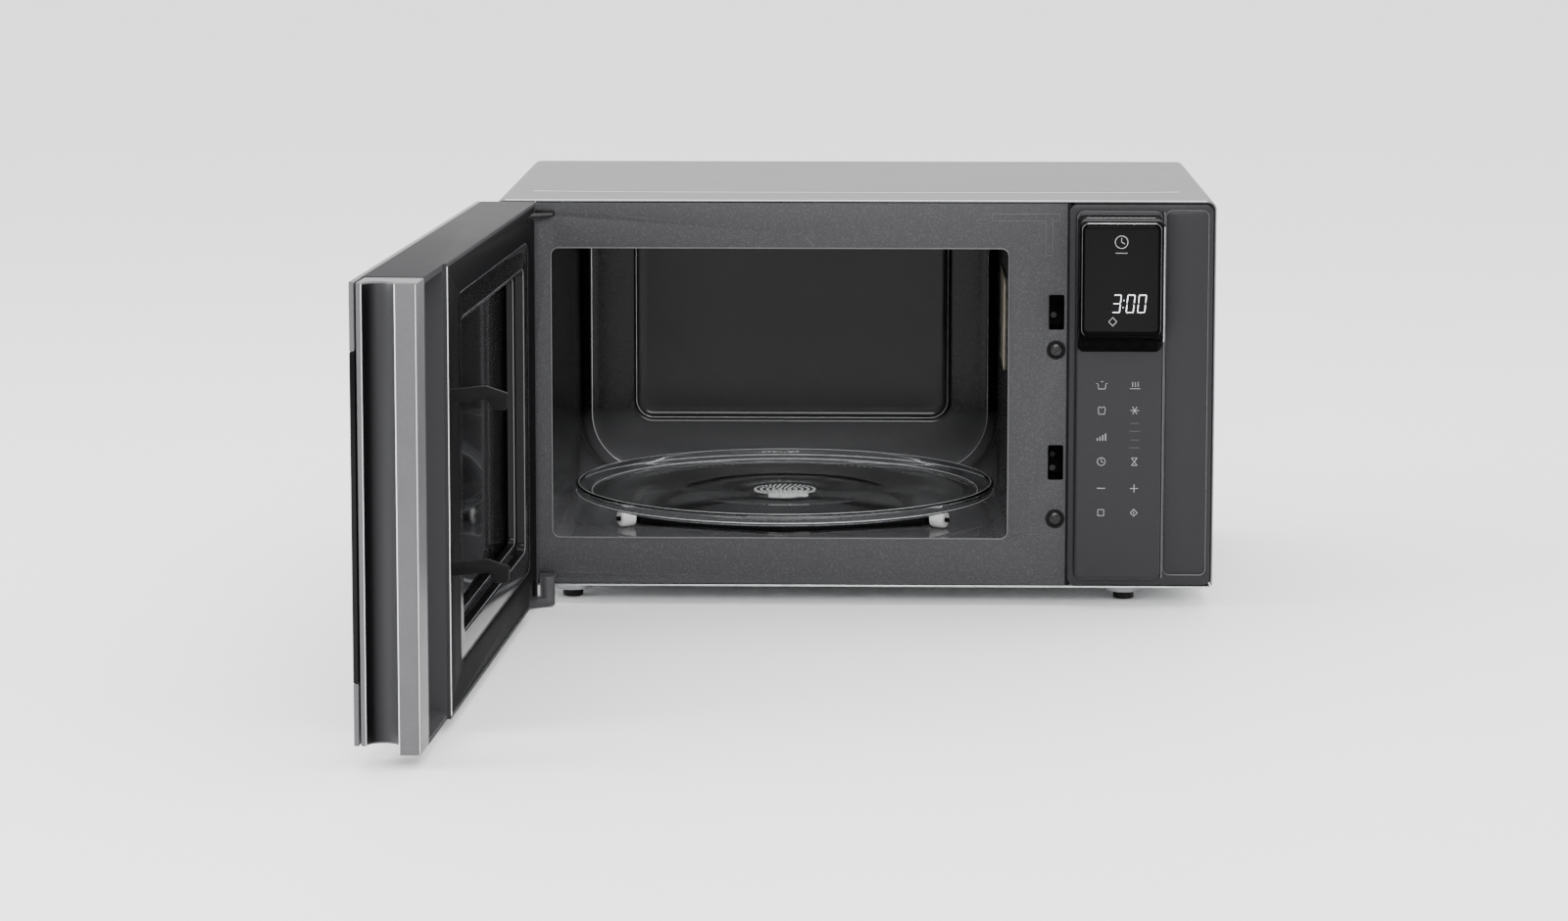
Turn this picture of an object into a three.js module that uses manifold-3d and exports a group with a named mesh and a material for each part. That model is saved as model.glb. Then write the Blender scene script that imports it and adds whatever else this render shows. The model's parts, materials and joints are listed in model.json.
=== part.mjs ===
// Countertop microwave oven with a side-hinged door, standing open, in millimetres and +Z up.
// Case coordinates: X from the left side of the case, Y into the oven from its front edge,
// Z up from the surface it stands on. The door is drawn closed and turned about its hinge axis.
import * as THREE from 'three';
import { mergeVertices } from 'three/addons/utils/BufferGeometryUtils.js';
import Module from 'manifold-3d';

const wasm = await Module();
wasm.setup();

// Case
const CASE_WIDTH = 476;
const CASE_DEPTH = 305;
const CASE_TOP = 271.5;
const CASE_BOTTOM = 13.8;
const SHEET = 1.2;
const GAP = 0.3;
const COVER_CORNER = 6;
const REAR_BULGE = 6;
const REAR_SCREW_X = [20, 456];
const REAR_SCREW_Z = 258;

// Front plate and cavity
const PLATE_FRONT = 0.6;
const PLATE_RIGHT = 378.6;
const OPENING = { x0: 36.4, x1: 339.7, z0: 45.2, z1: 239.7, r: 5 };
const CAVITY = { z0: 37.5, z1: 240.5, y1: 300, rearCorner: 48 };
const REAR_EMBOSS = { x0: 73.6, x1: 305.9, z0: 80.9, z1: 228, r: 12, depth: 2 };
const LATCH_SLOT = { x0: 366.1, x1: 376.2, z0: 185.7, z1: 208.9 };
const LATCH_PITCH = 100.4;
const SCREW_X = 371;
const SCREW_Z = [172.2, 59.1];

// Turntable
const SPIN = { x: 188, y: 150 };
const PLATE_RADIUS = 146.5;
const PLATE_BOTTOM = 50.3;
const PLATE_RIM_TOP = 60.5;
const ROLLER_RADIUS = 6.2;
const ROLLER_WIDTH = 11;
const ROLLER_CIRCLE = 124;
const RING_CORNER = 114;
const RING_WAIST = 93;
const RING_WIDTH = 8;
const ROLLER_ANGLES = [-30, 90, 210].map((degrees) => (degrees * Math.PI) / 180);

// Control panel and display
const PANEL = { x0: 379.3, x1: 475, z0: 15, z1: 270.2, face: -1.8 };
const KEY_PLATEAU = { x0: 383, x1: 441, z0: 19.2, z1: 265.5, face: -8 };
const DISPLAY = { x0: 384.3, x1: 440.1, z0: 172.3, z1: 262.9, face: -39 };

// Interlock switches and cooling fan
const SWITCH_NAMES = ['upper', 'lower', 'monitor'];
const SWITCH_Z = [191.5, 97.4, 88];
const FAN = { x: 406, z: 186, r: 46 };

// Door, drawn closed
const HINGE = { x: 8, y: -20.8 };
const DOOR_ANGLE = 93;
const DOOR = { x0: 0.5, x1: 474, z0: 7.7, z1: 271.3, outer: -40.2, inner: -0.8 };
const SKIN = 2.9;
const SKIN_BOTTOM = 12.5;
const BOX_END = 379;
const WING = { x0: 381.5, x1: 443.5, z0: 11, z1: 267.5 };
const SKIN_WINDOW = { ...WING, z0: 17.5, r: 2 };
const POST = { x0: 446.3, x1: 474, inner: -2.9, outer: -36.4 };
const GROOVE = { y0: -33.1, y1: -15.1, depth: 8.5 };
const TRIM_TOP = 233;
const TRIM_BOTTOM = 47.7;
const CHOKE = { x0: 32, x1: 334, z0: 30.5, z1: 249, r: 10 };
const WINDOW = { x0: 50, x1: 318, z0: 47, z1: 233, r: 8 };
const PIN_RADIUS = 2.5;
const HOOK_X = 370.5;
const HOOK_WIDTH = 4.2;

// Feet
const FOOT_RADIUS = 7.2;
const FOOT_TOP = 5.4;
const CUP_SIDES = 16;
const FOOT_PLACES = {
  front_left: [47.6, 34],
  front_right: [418.8, 34],
  rear_left: [47.6, 276],
  rear_right: [418.8, 276],
};

// Finishes
const finish = (color, roughness, metalness = 0) =>
  new THREE.MeshStandardMaterial({ color, roughness, metalness });
const satinSteel = finish(0xadadaf, 0.38, 0.9);
const zincSteel = finish(0xb9bcbf, 0.45, 0.9);
const plateEnamel = finish(0x505054, 0.5);
const cavityEnamel = finish(0x2e2e31, 0.2);
const panelPlastic = finish(0x3e3d42, 0.45);
const glossBlack = finish(0x0b0b0d, 0.08);
const framePlastic = finish(0x5f5f63, 0.5);
const silverPaint = finish(0x9e9da2, 0.35, 0.6);
const innerBlack = finish(0x1b1b1d, 0.45);
const clearGlass = finish(0xc9d2d4, 0.05);
const rollerWhite = finish(0xe8e8e6, 0.4);
const rubber = finish(0x111113, 0.8);
const boardGreen = finish(0x1f5a3a, 0.6);
const copperBrown = finish(0x6b3d22, 0.5, 0.3);
const bracketGrey = finish(0x8d9094, 0.5);
const micaTan = finish(0xb6ae9c, 0.6);

// ---- Shapes and solids ----

// Axes of a profile: local x, y and the extrusion direction
const ALONG_Z = new THREE.Matrix4();
const ALONG_Y = new THREE.Matrix4().makeBasis(
  new THREE.Vector3(1, 0, 0), new THREE.Vector3(0, 0, 1), new THREE.Vector3(0, -1, 0));
const ALONG_X = new THREE.Matrix4().makeBasis(
  new THREE.Vector3(0, 1, 0), new THREE.Vector3(0, 0, 1), new THREE.Vector3(1, 0, 0));

function roundedRect({ x0, x1, z0, z1, r = 0 }) {
  const shape = new THREE.Shape();
  shape.moveTo(x0 + r, z0);
  shape.lineTo(x1 - r, z0);
  if (r > 0) shape.absarc(x1 - r, z0 + r, r, -Math.PI / 2, 0);
  shape.lineTo(x1, z1 - r);
  if (r > 0) shape.absarc(x1 - r, z1 - r, r, 0, Math.PI / 2);
  shape.lineTo(x0 + r, z1);
  if (r > 0) shape.absarc(x0 + r, z1 - r, r, Math.PI / 2, Math.PI);
  shape.lineTo(x0, z0 + r);
  if (r > 0) shape.absarc(x0 + r, z0 + r, r, Math.PI, Math.PI * 1.5);
  return shape;
}

function polygon(points) {
  return new THREE.Shape(points.map(([x, y]) => new THREE.Vector2(x, y)));
}

// Profile in X and Z, from y0 to y1
function slabY(shape, y0, y1, curveSegments = 4) {
  const geometry = new THREE.ExtrudeGeometry(shape, { depth: y1 - y0, bevelEnabled: false, curveSegments });
  return geometry.applyMatrix4(ALONG_Y).translate(0, y1, 0);
}

// Profile in X and Y, from z0 to z1
function slabZ(shape, z0, z1, curveSegments = 4) {
  const geometry = new THREE.ExtrudeGeometry(shape, { depth: z1 - z0, bevelEnabled: false, curveSegments });
  return geometry.applyMatrix4(ALONG_Z).translate(0, 0, z0);
}

// Profile in Y and Z, from x0 to x1
function slabX(shape, x0, x1, curveSegments = 4) {
  const geometry = new THREE.ExtrudeGeometry(shape, { depth: x1 - x0, bevelEnabled: false, curveSegments });
  return geometry.applyMatrix4(ALONG_X).translate(x0, 0, 0);
}

function box(x0, x1, y0, y1, z0, z1) {
  return new THREE.BoxGeometry(x1 - x0, y1 - y0, z1 - z0)
    .translate((x0 + x1) / 2, (y0 + y1) / 2, (z0 + z1) / 2);
}

function rodZ(x, y, r, z0, z1, sides = 14) {
  return new THREE.CylinderGeometry(r, r, z1 - z0, sides).rotateX(Math.PI / 2).translate(x, y, (z0 + z1) / 2);
}

function rodY(x, z, r, y0, y1, sides = 14) {
  return new THREE.CylinderGeometry(r, r, y1 - y0, sides).translate(x, (y0 + y1) / 2, z);
}

function rodX(y, z, r, x0, x1, sides = 14) {
  return new THREE.CylinderGeometry(r, r, x1 - x0, sides).rotateZ(Math.PI / 2).translate((x0 + x1) / 2, y, z);
}

// Profile [radius, height] turned about the vertical line through x, y
function turned(x, y, profile, sides = 40) {
  const points = profile.map(([r, z]) => new THREE.Vector2(r, z));
  return new THREE.LatheGeometry(points, sides).rotateX(Math.PI / 2).translate(x, y, 0);
}

function toSolid(geometry) {
  const bare = geometry.clone();
  bare.deleteAttribute('normal');
  bare.deleteAttribute('uv');
  const merged = mergeVertices(bare, 1e-4);
  return new wasm.Manifold(new wasm.Mesh({
    numProp: 3,
    vertProperties: new Float32Array(merged.attributes.position.array),
    triVerts: new Uint32Array(merged.index.array),
  }));
}

function toGeometry(solid) {
  const { vertProperties, triVerts } = solid.getMesh();
  const geometry = new THREE.BufferGeometry();
  geometry.setAttribute('position', new THREE.BufferAttribute(vertProperties, 3));
  geometry.setIndex(new THREE.BufferAttribute(triVerts, 1));
  geometry.computeVertexNormals();
  return geometry;
}

const cut = (base, tools) =>
  toGeometry(tools.reduce((solid, tool) => solid.subtract(toSolid(tool)), toSolid(base)));
const join = (parts) =>
  toGeometry(parts.slice(1).reduce((solid, part) => solid.add(toSolid(part)), toSolid(parts[0])));
const common = (parts) =>
  toGeometry(parts.slice(1).reduce((solid, part) => solid.intersect(toSolid(part)), toSolid(parts[0])));

function add(group, name, geometry, material) {
  const mesh = new THREE.Mesh(geometry, material);
  mesh.name = name;
  group.add(mesh);
}

// ---- Case ----

function outerCover() {
  const t = SHEET;
  const r = COVER_CORNER;
  const low = CASE_BOTTOM + 0.8;
  const shape = new THREE.Shape();
  shape.moveTo(CASE_WIDTH, low);
  shape.lineTo(CASE_WIDTH, CASE_TOP - r);
  shape.absarc(CASE_WIDTH - r, CASE_TOP - r, r, 0, Math.PI / 2);
  shape.absarc(r, CASE_TOP - r, r, Math.PI / 2, Math.PI);
  shape.lineTo(0, low);
  shape.lineTo(t, low);
  shape.absarc(r, CASE_TOP - r, r - t, Math.PI, Math.PI / 2, true);
  shape.absarc(CASE_WIDTH - r, CASE_TOP - r, r - t, Math.PI / 2, 0, true);
  shape.lineTo(CASE_WIDTH - t, low);
  const vents = [];
  for (let i = 0; i < 9; i += 1) {
    const y = 205 + i * 9;
    vents.push(box(CASE_WIDTH - 2 * t, CASE_WIDTH + t, y, y + 3.5, 60, 100));
    vents.push(box(-t, 2 * t, y, y + 3.5, 200, 240));
  }
  return cut(slabY(shape, 0, CASE_DEPTH, 6), vents);
}

function basePlate() {
  const z0 = CASE_BOTTOM - SHEET;
  const cupFoot = FOOT_TOP + 0.2;
  const cup = [[3.4, cupFoot], [12.5, cupFoot], [17, z0], [17, CASE_BOTTOM - 0.2], [15.8, CASE_BOTTOM - 0.2],
    [11.6, cupFoot + SHEET], [3.4, cupFoot + SHEET], [3.4, cupFoot]];
  const places = Object.values(FOOT_PLACES);
  const holes = places.map(([x, y]) => rodZ(x, y, 16.2, z0 - 1, CASE_BOTTOM + 1, CUP_SIDES));
  for (let i = 0; i < 6; i += 1) {
    holes.push(box(385, 440, 70 + i * 12, 74 + i * 12, z0 - 1, CASE_BOTTOM + 1));
  }
  const plate = cut(box(1.6, CASE_WIDTH - 1.6, 0.8, CASE_DEPTH - 1.7, z0, CASE_BOTTOM), holes);
  return join([plate, ...places.map(([x, y]) => turned(x, y, cup, CUP_SIDES))]);
}

function foot(x, y) {
  const r = FOOT_RADIUS;
  const stem = 2.9;
  const profile = [[0, 0], [r - 1, 0], [r - 0.3, 0.8], [r, FOOT_TOP], [stem, FOOT_TOP], [stem, 11], [0, 11]];
  return turned(x, y, profile, 14);
}

function rearPanel() {
  const y0 = CASE_DEPTH - 1.4;
  const y1 = y0 + SHEET;
  const sheet = slabY(roundedRect({ x0: 1.6, x1: 474.4, z0: 14.6, z1: 269.8, r: 5.5 }), y0, y1);
  const bulge = { x0: 50, x1: 426, z0: 50, z1: 246, r: 14 };
  const raised = slabY(roundedRect(bulge), y0 + 0.1, CASE_DEPTH + REAR_BULGE);
  const inset = { x0: bulge.x0 + 1.4, x1: bulge.x1 - 1.4, z0: bulge.z0 + 1.4, z1: bulge.z1 - 1.4, r: 12.6 };
  const tools = [slabY(roundedRect(inset), y0 - 1, CASE_DEPTH + REAR_BULGE - SHEET)];
  for (let i = 0; i < 11; i += 1) {
    tools.push(box(366, 414, y0 - 1, CASE_DEPTH + REAR_BULGE + 1, 130 + i * 9.5, 134 + i * 9.5));
  }
  tools.push(rodY(442, 36, 7, y0 - 1, y1 + 1, 24));
  for (const x of REAR_SCREW_X) tools.push(rodY(x, REAR_SCREW_Z, 2.2, y0 - 1, y1 + 1, 16));
  return cut(join([sheet, raised]), tools);
}

function rearScrew(x) {
  const head = rodY(x, REAR_SCREW_Z, 4, CASE_DEPTH + 0.1, CASE_DEPTH + 2.2);
  return join([head, rodY(x, REAR_SCREW_Z, 1.8, CASE_DEPTH - 8, CASE_DEPTH + 1, 14)]);
}

function cordInlet() {
  const ring = [[4, 0], [10, 0], [10, 3.2], [6.6, 3.2], [6.6, 7.4], [4, 7.4], [4, 0]];
  return turned(0, 0, ring, 16).rotateX(Math.PI / 2).translate(442, CASE_DEPTH + 3.2, 36);
}

function frontPlate() {
  const y0 = PLATE_FRONT;
  const y1 = PLATE_FRONT + SHEET;
  const sheet = slabY(polygon([[1.6, 14.4], [PLATE_RIGHT, 14.4], [PLATE_RIGHT, 269.6], [6.6, 269.6], [3, 268],
    [1.6, 264.5]]), y0, y1);
  const lowSlot = { ...LATCH_SLOT, z0: LATCH_SLOT.z0 - LATCH_PITCH, z1: LATCH_SLOT.z1 - LATCH_PITCH };
  const tools = [
    slabY(roundedRect(OPENING), y0 - 1, y1 + 1),
    slabY(roundedRect({ ...LATCH_SLOT, r: 1 }), y0 - 1, y1 + 1, 2),
    slabY(roundedRect({ ...lowSlot, r: 1 }), y0 - 1, y1 + 1, 2),
    box(20.5, 39.4, y0 - 1, y1 + 1, 260.6, 264),
    box(27, 40, y0 - 1, y1 + 1, 17.9, 22),
  ];
  for (const z of SCREW_Z) tools.push(rodY(SCREW_X, z, 5.6, y0 - 1, y1 + 1, 20));
  const mark = [
    box(328.2, 373.3, y0 - 0.4, y0 + 0.3, 257.5, 262.8),
    box(363.5, 368.7, y0 - 0.4, y0 + 0.3, 234.7, 260),
  ];
  return join([cut(sheet, tools), ...mark]);
}

function frontScrew(z) {
  const head = rodY(SCREW_X, z, 5, 0.5, 1.9, 18);
  return join([head, rodY(SCREW_X, z, 2, 1.5, 12, 12)]);
}

// ---- Cavity ----

// One cross-section of the cavity, with its own lower corner radius
function cavityProfile(grow, lowRadius) {
  const x0 = OPENING.x0 - grow;
  const x1 = OPENING.x1 + grow;
  const z0 = CAVITY.z0 - grow;
  const z1 = CAVITY.z1 + grow;
  const low = lowRadius + grow;
  const high = 8 + grow;
  const shape = new THREE.Shape();
  shape.absarc(x1 - low, z0 + low, low, -Math.PI / 2, 0);
  shape.absarc(x1 - high, z1 - high, high, 0, Math.PI / 2);
  shape.absarc(x0 + high, z1 - high, high, Math.PI / 2, Math.PI);
  shape.absarc(x0 + low, z0 + low, low, Math.PI, Math.PI * 1.5);
  return shape;
}

function cavityShell() {
  const t = SHEET;
  const front = 2.1;
  const step = 262;
  const outer = join([
    slabY(cavityProfile(t, 10), front, step + t, 4),
    slabY(cavityProfile(t, CAVITY.rearCorner), step - 20, CAVITY.y1 + t, 7),
    slabY(roundedRect({ ...REAR_EMBOSS, r: 12 }), 290, CAVITY.y1 + REAR_EMBOSS.depth + t),
  ]);
  const tools = [
    slabY(cavityProfile(0, 10), front - 1, step, 4),
    slabY(cavityProfile(0, CAVITY.rearCorner), step - 20, CAVITY.y1, 7),
    slabY(roundedRect({ x0: REAR_EMBOSS.x0 + t, x1: REAR_EMBOSS.x1 - t, z0: REAR_EMBOSS.z0 + t,
      z1: REAR_EMBOSS.z1 - t, r: 10.8 }), 290, CAVITY.y1 + REAR_EMBOSS.depth),
    rodZ(SPIN.x, SPIN.y, 7, CAVITY.z0 - 4, CAVITY.z0 + 4, 24),
    box(330, 350, 85, 155, 155, 205),
    rodX(205, 216, 9, 330, 350, 20),
  ];
  return cut(outer, tools);
}

function waveguide() {
  const duct = box(341.2, 362, 72, 168, 142, 222);
  return cut(duct, [box(340, 360.8, 73.2, 166.8, 143.2, 220.8), rodX(120, 180, 11, 358, 364, 24)]);
}

function magnetron() {
  const parts = [rodX(120, 180, 19, 364.5, 440, 12), rodX(120, 180, 9, 349, 366, 14)];
  parts.push(box(362.6, 364.8, 84, 156, 144, 216));
  parts.push(box(438, 440.2, 84, 156, 144, 216));
  parts.push(box(362.6, 440.2, 84, 156, 144, 146.2));
  for (let i = 0; i < 5; i += 1) {
    const x = 376 + i * 12;
    parts.push(box(x, x + 1.4, 88, 152, 145, 212));
  }
  parts.push(box(439, 462, 106, 134, 166, 194));
  return join(parts);
}

function cavityLamp() {
  return join([rodX(205, 216, 6, 343, 356, 18), box(354, 372, 194, 216, 205, 227)]);
}

// ---- Turntable ----

function turntableMotor() {
  const can = rodZ(SPIN.x, SPIN.y, 25, 15, 31.5, 20);
  const ears = box(SPIN.x - 36, SPIN.x + 36, SPIN.y - 6, SPIN.y + 6, 30, 31.4);
  return join([can, ears, box(SPIN.x - 12, SPIN.x + 12, SPIN.y + 20, SPIN.y + 36, 16, 30)]);
}

function driveCoupler() {
  const parts = [rodZ(SPIN.x, SPIN.y, 3.5, 32, 42, 16), rodZ(SPIN.x, SPIN.y, 11, 40.5, 47.5, 24)];
  for (let i = 0; i < 3; i += 1) {
    const lobe = box(6, 17, -3.5, 3.5, 40.5, 49.4).rotateZ((i * 2 * Math.PI) / 3);
    parts.push(lobe.translate(SPIN.x, SPIN.y, 0));
  }
  return join(parts);
}

// Six straight bars between the rollers' corners and the waists, grown inwards or outwards
function ringOutline(grow) {
  const shape = new THREE.Shape();
  for (let i = 0; i < 6; i += 1) {
    const radius = (i % 2 === 0 ? RING_CORNER : RING_WAIST) + grow;
    const turn = ROLLER_ANGLES[0] + (i * Math.PI) / 3;
    const draw = i === 0 ? 'moveTo' : 'lineTo';
    shape[draw](radius * Math.cos(turn), radius * Math.sin(turn));
  }
  return shape;
}

function rollerRing() {
  const z0 = CAVITY.z0 + 1.6;
  const z1 = z0 + 5;
  const rim = cut(slabZ(ringOutline(0), z0, z1), [slabZ(ringOutline(-RING_WIDTH), z0 - 1, z1 + 1)]);
  const hub = turned(0, 0, [[20, z0], [26, z0], [26, z1], [20, z1], [20, z0]], 18);
  const parts = [rim, hub];
  const axleZ = CAVITY.z0 + ROLLER_RADIUS;
  for (const turn of ROLLER_ANGLES) {
    parts.push(box(25, RING_CORNER - 5, -4, 4, z0, z1).rotateZ(turn));
    parts.push(box(RING_CORNER - 6, RING_CORNER + 1, -3.2, 3.2, z0, z0 + 6.6).rotateZ(turn));
    parts.push(rodX(0, axleZ, 1.5, RING_CORNER - 1, ROLLER_CIRCLE + 7.4, 12).rotateZ(turn));
  }
  return join(parts).translate(SPIN.x, SPIN.y, 0);
}

function roller(turn) {
  const half = ROLLER_WIDTH / 2;
  const r = ROLLER_RADIUS;
  const bore = 1.9;
  const profile = [[bore, -half], [r - 1.4, -half], [r - 0.3, -half + 1.4], [r - 0.15, 0],
    [r - 0.3, half - 1.4], [r - 1.4, half], [bore, half], [bore, -half]];
  const wheel = new THREE.LatheGeometry(profile.map(([a, b]) => new THREE.Vector2(a, b)), 16);
  return wheel.rotateZ(-Math.PI / 2).translate(ROLLER_CIRCLE, 0, CAVITY.z0 + r)
    .rotateZ(turn).translate(SPIN.x, SPIN.y, 0);
}

function glassTurntable() {
  const b = PLATE_BOTTOM;
  const R = PLATE_RADIUS;
  const profile = [[0, b], [R - 13, b], [R - 5, b + 2], [R - 0.8, b + 6.5], [R, PLATE_RIM_TOP - 1.2],
    [R - 1, PLATE_RIM_TOP], [R - 3, PLATE_RIM_TOP - 0.4], [R - 7.5, b + 5.8], [R - 15, b + 4.2],
    [0, b + 4.2]];
  return turned(SPIN.x, SPIN.y, profile, 48);
}

// ---- Control side ----

function controlPanel() {
  const { x0, x1, z0, z1, face } = PANEL;
  const back = 12;
  const bezel = slabY(roundedRect({ x0, x1, z0, z1, r: 5 }), face, -GAP);
  const shell = slabY(roundedRect({ x0, x1: x1 - 0.9, z0, z1: z1 - 0.9, r: 5.5 }), -2 * GAP, back);
  const plateau = slabY(roundedRect({ ...KEY_PLATEAU, r: 5 }), KEY_PLATEAU.face, 0);
  const pad = slabY(roundedRect({ x0: 443, x1: 470.4, z0: 23.5, z1: 265, r: 4 }), face - 0.6, 0);
  const hollow = box(x0 + 2.4, x1 - 3.4, face + 2, back + 1, z0 + 2.4, z1 - 3.4);
  const keyHollow = box(KEY_PLATEAU.x0 + 2.4, KEY_PLATEAU.x1 - 2.4, KEY_PLATEAU.face + 2, 1,
    KEY_PLATEAU.z0 + 2.4, KEY_PLATEAU.z1 - 2.4);
  return cut(join([bezel, shell, plateau, pad]), [hollow, keyHollow]);
}

function displayBlock() {
  const { x0, x1, z0, z1, face } = DISPLAY;
  const base = KEY_PLATEAU.face - GAP;
  const side = slabX(polygon([[base, z0], [base, z1], [face, z1 - 1.4], [face, z0 + 12.9]]), x0, x1);
  const plan = slabZ(polygon([[x0, base], [x0 + 1, face + 1.2], [x0 + 2.2, face], [x1 - 3.8, face],
    [x1, face + 5], [x1, base]]), z0 - 1, z1 + 1);
  const front = slabY(roundedRect({ x0, x1, z0, z1, r: 4 }), face - 1, base + 1);
  const hollow = box(x0 + 3, x1 - 4, face + 3, base + 1, z0 + 18, z1 - 4);
  return cut(common([side, plan, front]), [hollow]);
}

function interlockBracket() {
  const body = box(362.5, 379, 2.3, 43, 50, 214);
  const tools = [];
  for (const drop of [0, LATCH_PITCH]) {
    tools.push(box(364.5, 377.8, 1, 40, 184.4 - drop, 210.5 - drop));
  }
  for (const z of SCREW_Z) tools.push(rodY(SCREW_X, z, 2.4, 1, 14, 14));
  for (const z of SWITCH_Z) tools.push(rodY(HOOK_X, z, 2.4, 38, 44, 14));
  return cut(body, tools);
}

function microswitch(z) {
  const body = box(363, 379, 43.4, 60, z - 4.4, z + 4.4);
  return cut(body, [rodY(HOOK_X, z, 2.4, 43, 50, 14)]);
}

function plunger(z) {
  return rodY(HOOK_X, z, 2, 35.2, 46.5, 14);
}

// ---- Electronics and cooling ----

function inverterBoard() {
  const parts = [box(352, 466, 62, 220, 24, 25.6)];
  for (const [x, y] of [[458, 80], [458, 100], [458, 190]]) parts.push(rodZ(x, y, 6, 25.4, 46, 18));
  return join(parts);
}

function heatSink() {
  const parts = [box(356, 384, 80, 180, 26, 32)];
  for (let i = 0; i < 6; i += 1) parts.push(box(356 + i * 5.2, 358 + i * 5.2, 80, 180, 31.8, 62));
  return join(parts);
}

function inverterTransformer() {
  const lowerCore = box(398, 440, 96, 160, 26, 40);
  const windings = box(406, 432, 100, 156, 39.8, 58);
  const upperCore = box(398, 440, 96, 160, 57.8, 70);
  return join([lowerCore, windings, upperCore]);
}

function mainsFilterBoard() {
  const parts = [box(352, 466, 232, 296, 24, 25.6), box(360, 384, 244, 268, 25.4, 48)];
  parts.push(rodZ(410, 262, 12, 25.4, 44, 20), box(436, 456, 240, 256, 25.4, 40));
  return join(parts);
}

function fanShroud() {
  return cut(box(345, 472, 236, 238.4, 122, 250), [rodY(FAN.x, FAN.z, FAN.r + 4, 230, 245, 28)]);
}

function fanBlade() {
  const parts = [rodY(FAN.x, FAN.z, 13, 242, 258, 16)];
  for (let i = 0; i < 7; i += 1) {
    const blade = new THREE.BoxGeometry(35, 1.6, 20).rotateX(0.6).translate(28.5, 0, 0);
    parts.push(blade.rotateY((i * 2 * Math.PI) / 7).translate(FAN.x, 250, FAN.z));
  }
  return cut(join(parts), [rodY(FAN.x, FAN.z, 2.8, 240, 262, 14)]);
}

function fanMotor() {
  const parts = [rodY(FAN.x, FAN.z, 22, 263, 292, 20), rodY(FAN.x, FAN.z, 2.4, 245, 264, 12)];
  parts.push(box(FAN.x - 56, FAN.x + 56, 268, 271, FAN.z - 6, FAN.z + 6));
  for (const x of [FAN.x - 56, FAN.x + 53]) parts.push(box(x, x + 3, 238.8, 271, FAN.z - 6, FAN.z + 6));
  return join(parts);
}

function controlBoard() {
  const board = box(388, 436, 16, 17.6, 40, 255);
  const relay = box(396, 424, 17.4, 34, 60, 96);
  return join([board, relay, rodY(412, 130, 9, 17.4, 34, 18)]);
}

function displayBoard() {
  return join([box(389, 434.5, -33, -31.4, 193, 256), box(396, 430, -35.4, -32.8, 196, 216)]);
}

// ---- Hinges ----

function upperHingeBracket() {
  const arm = slabZ(polygon([[38.6, 3], [38.6, -6], [13, -25], [8, -27.3], [2.6, -24.6], [1.4, -20],
    [4, -15.5], [21.3, -4], [21.3, 3]]), 261.4, 263.2);
  const flange = box(16, 44, 2.2, 4, 252, 268.5);
  return cut(join([arm, flange]), [rodZ(HINGE.x, HINGE.y, PIN_RADIUS + GAP + 0.05, 255, 270, 18)]);
}

function lowerHingeBracket() {
  const tongue = box(28.6, 38.6, -8, 3, 18.7, 20.7);
  const flange = box(16, 44, 2.2, 4, 15.2, 33);
  const boss = rodZ(33.5, -7, 5, 1.2, 20.7, 16);
  const arm = slabZ(polygon([[38.2, -5], [38.2, -9], [13, -25], [8, -27], [2.8, -24.4], [1.8, -20],
    [4.4, -15.6], [30, -2.6]]), 1.2, 6.4);
  return cut(join([tongue, flange, boss, arm]), [rodZ(HINGE.x, HINGE.y, PIN_RADIUS + GAP + 0.05, 0, 8, 18)]);
}

// ---- Door, drawn closed ----

// Room in the door for the fixed hinge brackets through the whole swing
const bracketPockets = () => [
  box(-2, 40.4, -28.6, 2, 260.2, 264.6),
  box(12, 43.5, -14.2, 2, 0, 22.2),
];

function doorFrame() {
  const r = 5;
  const plan = new THREE.Shape();
  plan.moveTo(DOOR.x0, -37);
  plan.lineTo(POST.x0 - GAP, -37);
  plan.lineTo(POST.x0 - GAP, POST.inner);
  plan.lineTo(BOX_END, POST.inner);
  plan.lineTo(BOX_END, DOOR.inner);
  plan.lineTo(DOOR.x0 + r, DOOR.inner);
  plan.absarc(DOOR.x0 + r, DOOR.inner - r, r, Math.PI / 2, Math.PI);
  const tools = [
    box(-1, CASE_WIDTH, -38, GROOVE.y1, 0, SKIN_BOTTOM),
    box(DOOR.x0 + 5.5, BOX_END - 2.5, -3.6, 1, DOOR.z0 + 2.3, DOOR.z1 - 2.3),
    box(17, BOX_END - 2.5, -34.5, 1, 15, DOOR.z1 - 3),
    slabY(roundedRect({ x0: 45, x1: 326, z0: 42, z1: 238, r: 6 }), -38, -30),
    slabY(roundedRect({ ...WING, r: 2 }), -38, 1),
    rodZ(HINGE.x, HINGE.y, PIN_RADIUS + GAP, 254.6, 268.4, 18),
    rodZ(HINGE.x, HINGE.y, PIN_RADIUS + GAP, 0, 30.4, 18),
    ...bracketPockets(),
  ];
  return cut(slabZ(plan, DOOR.z0, DOOR.z1), tools);
}

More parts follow.
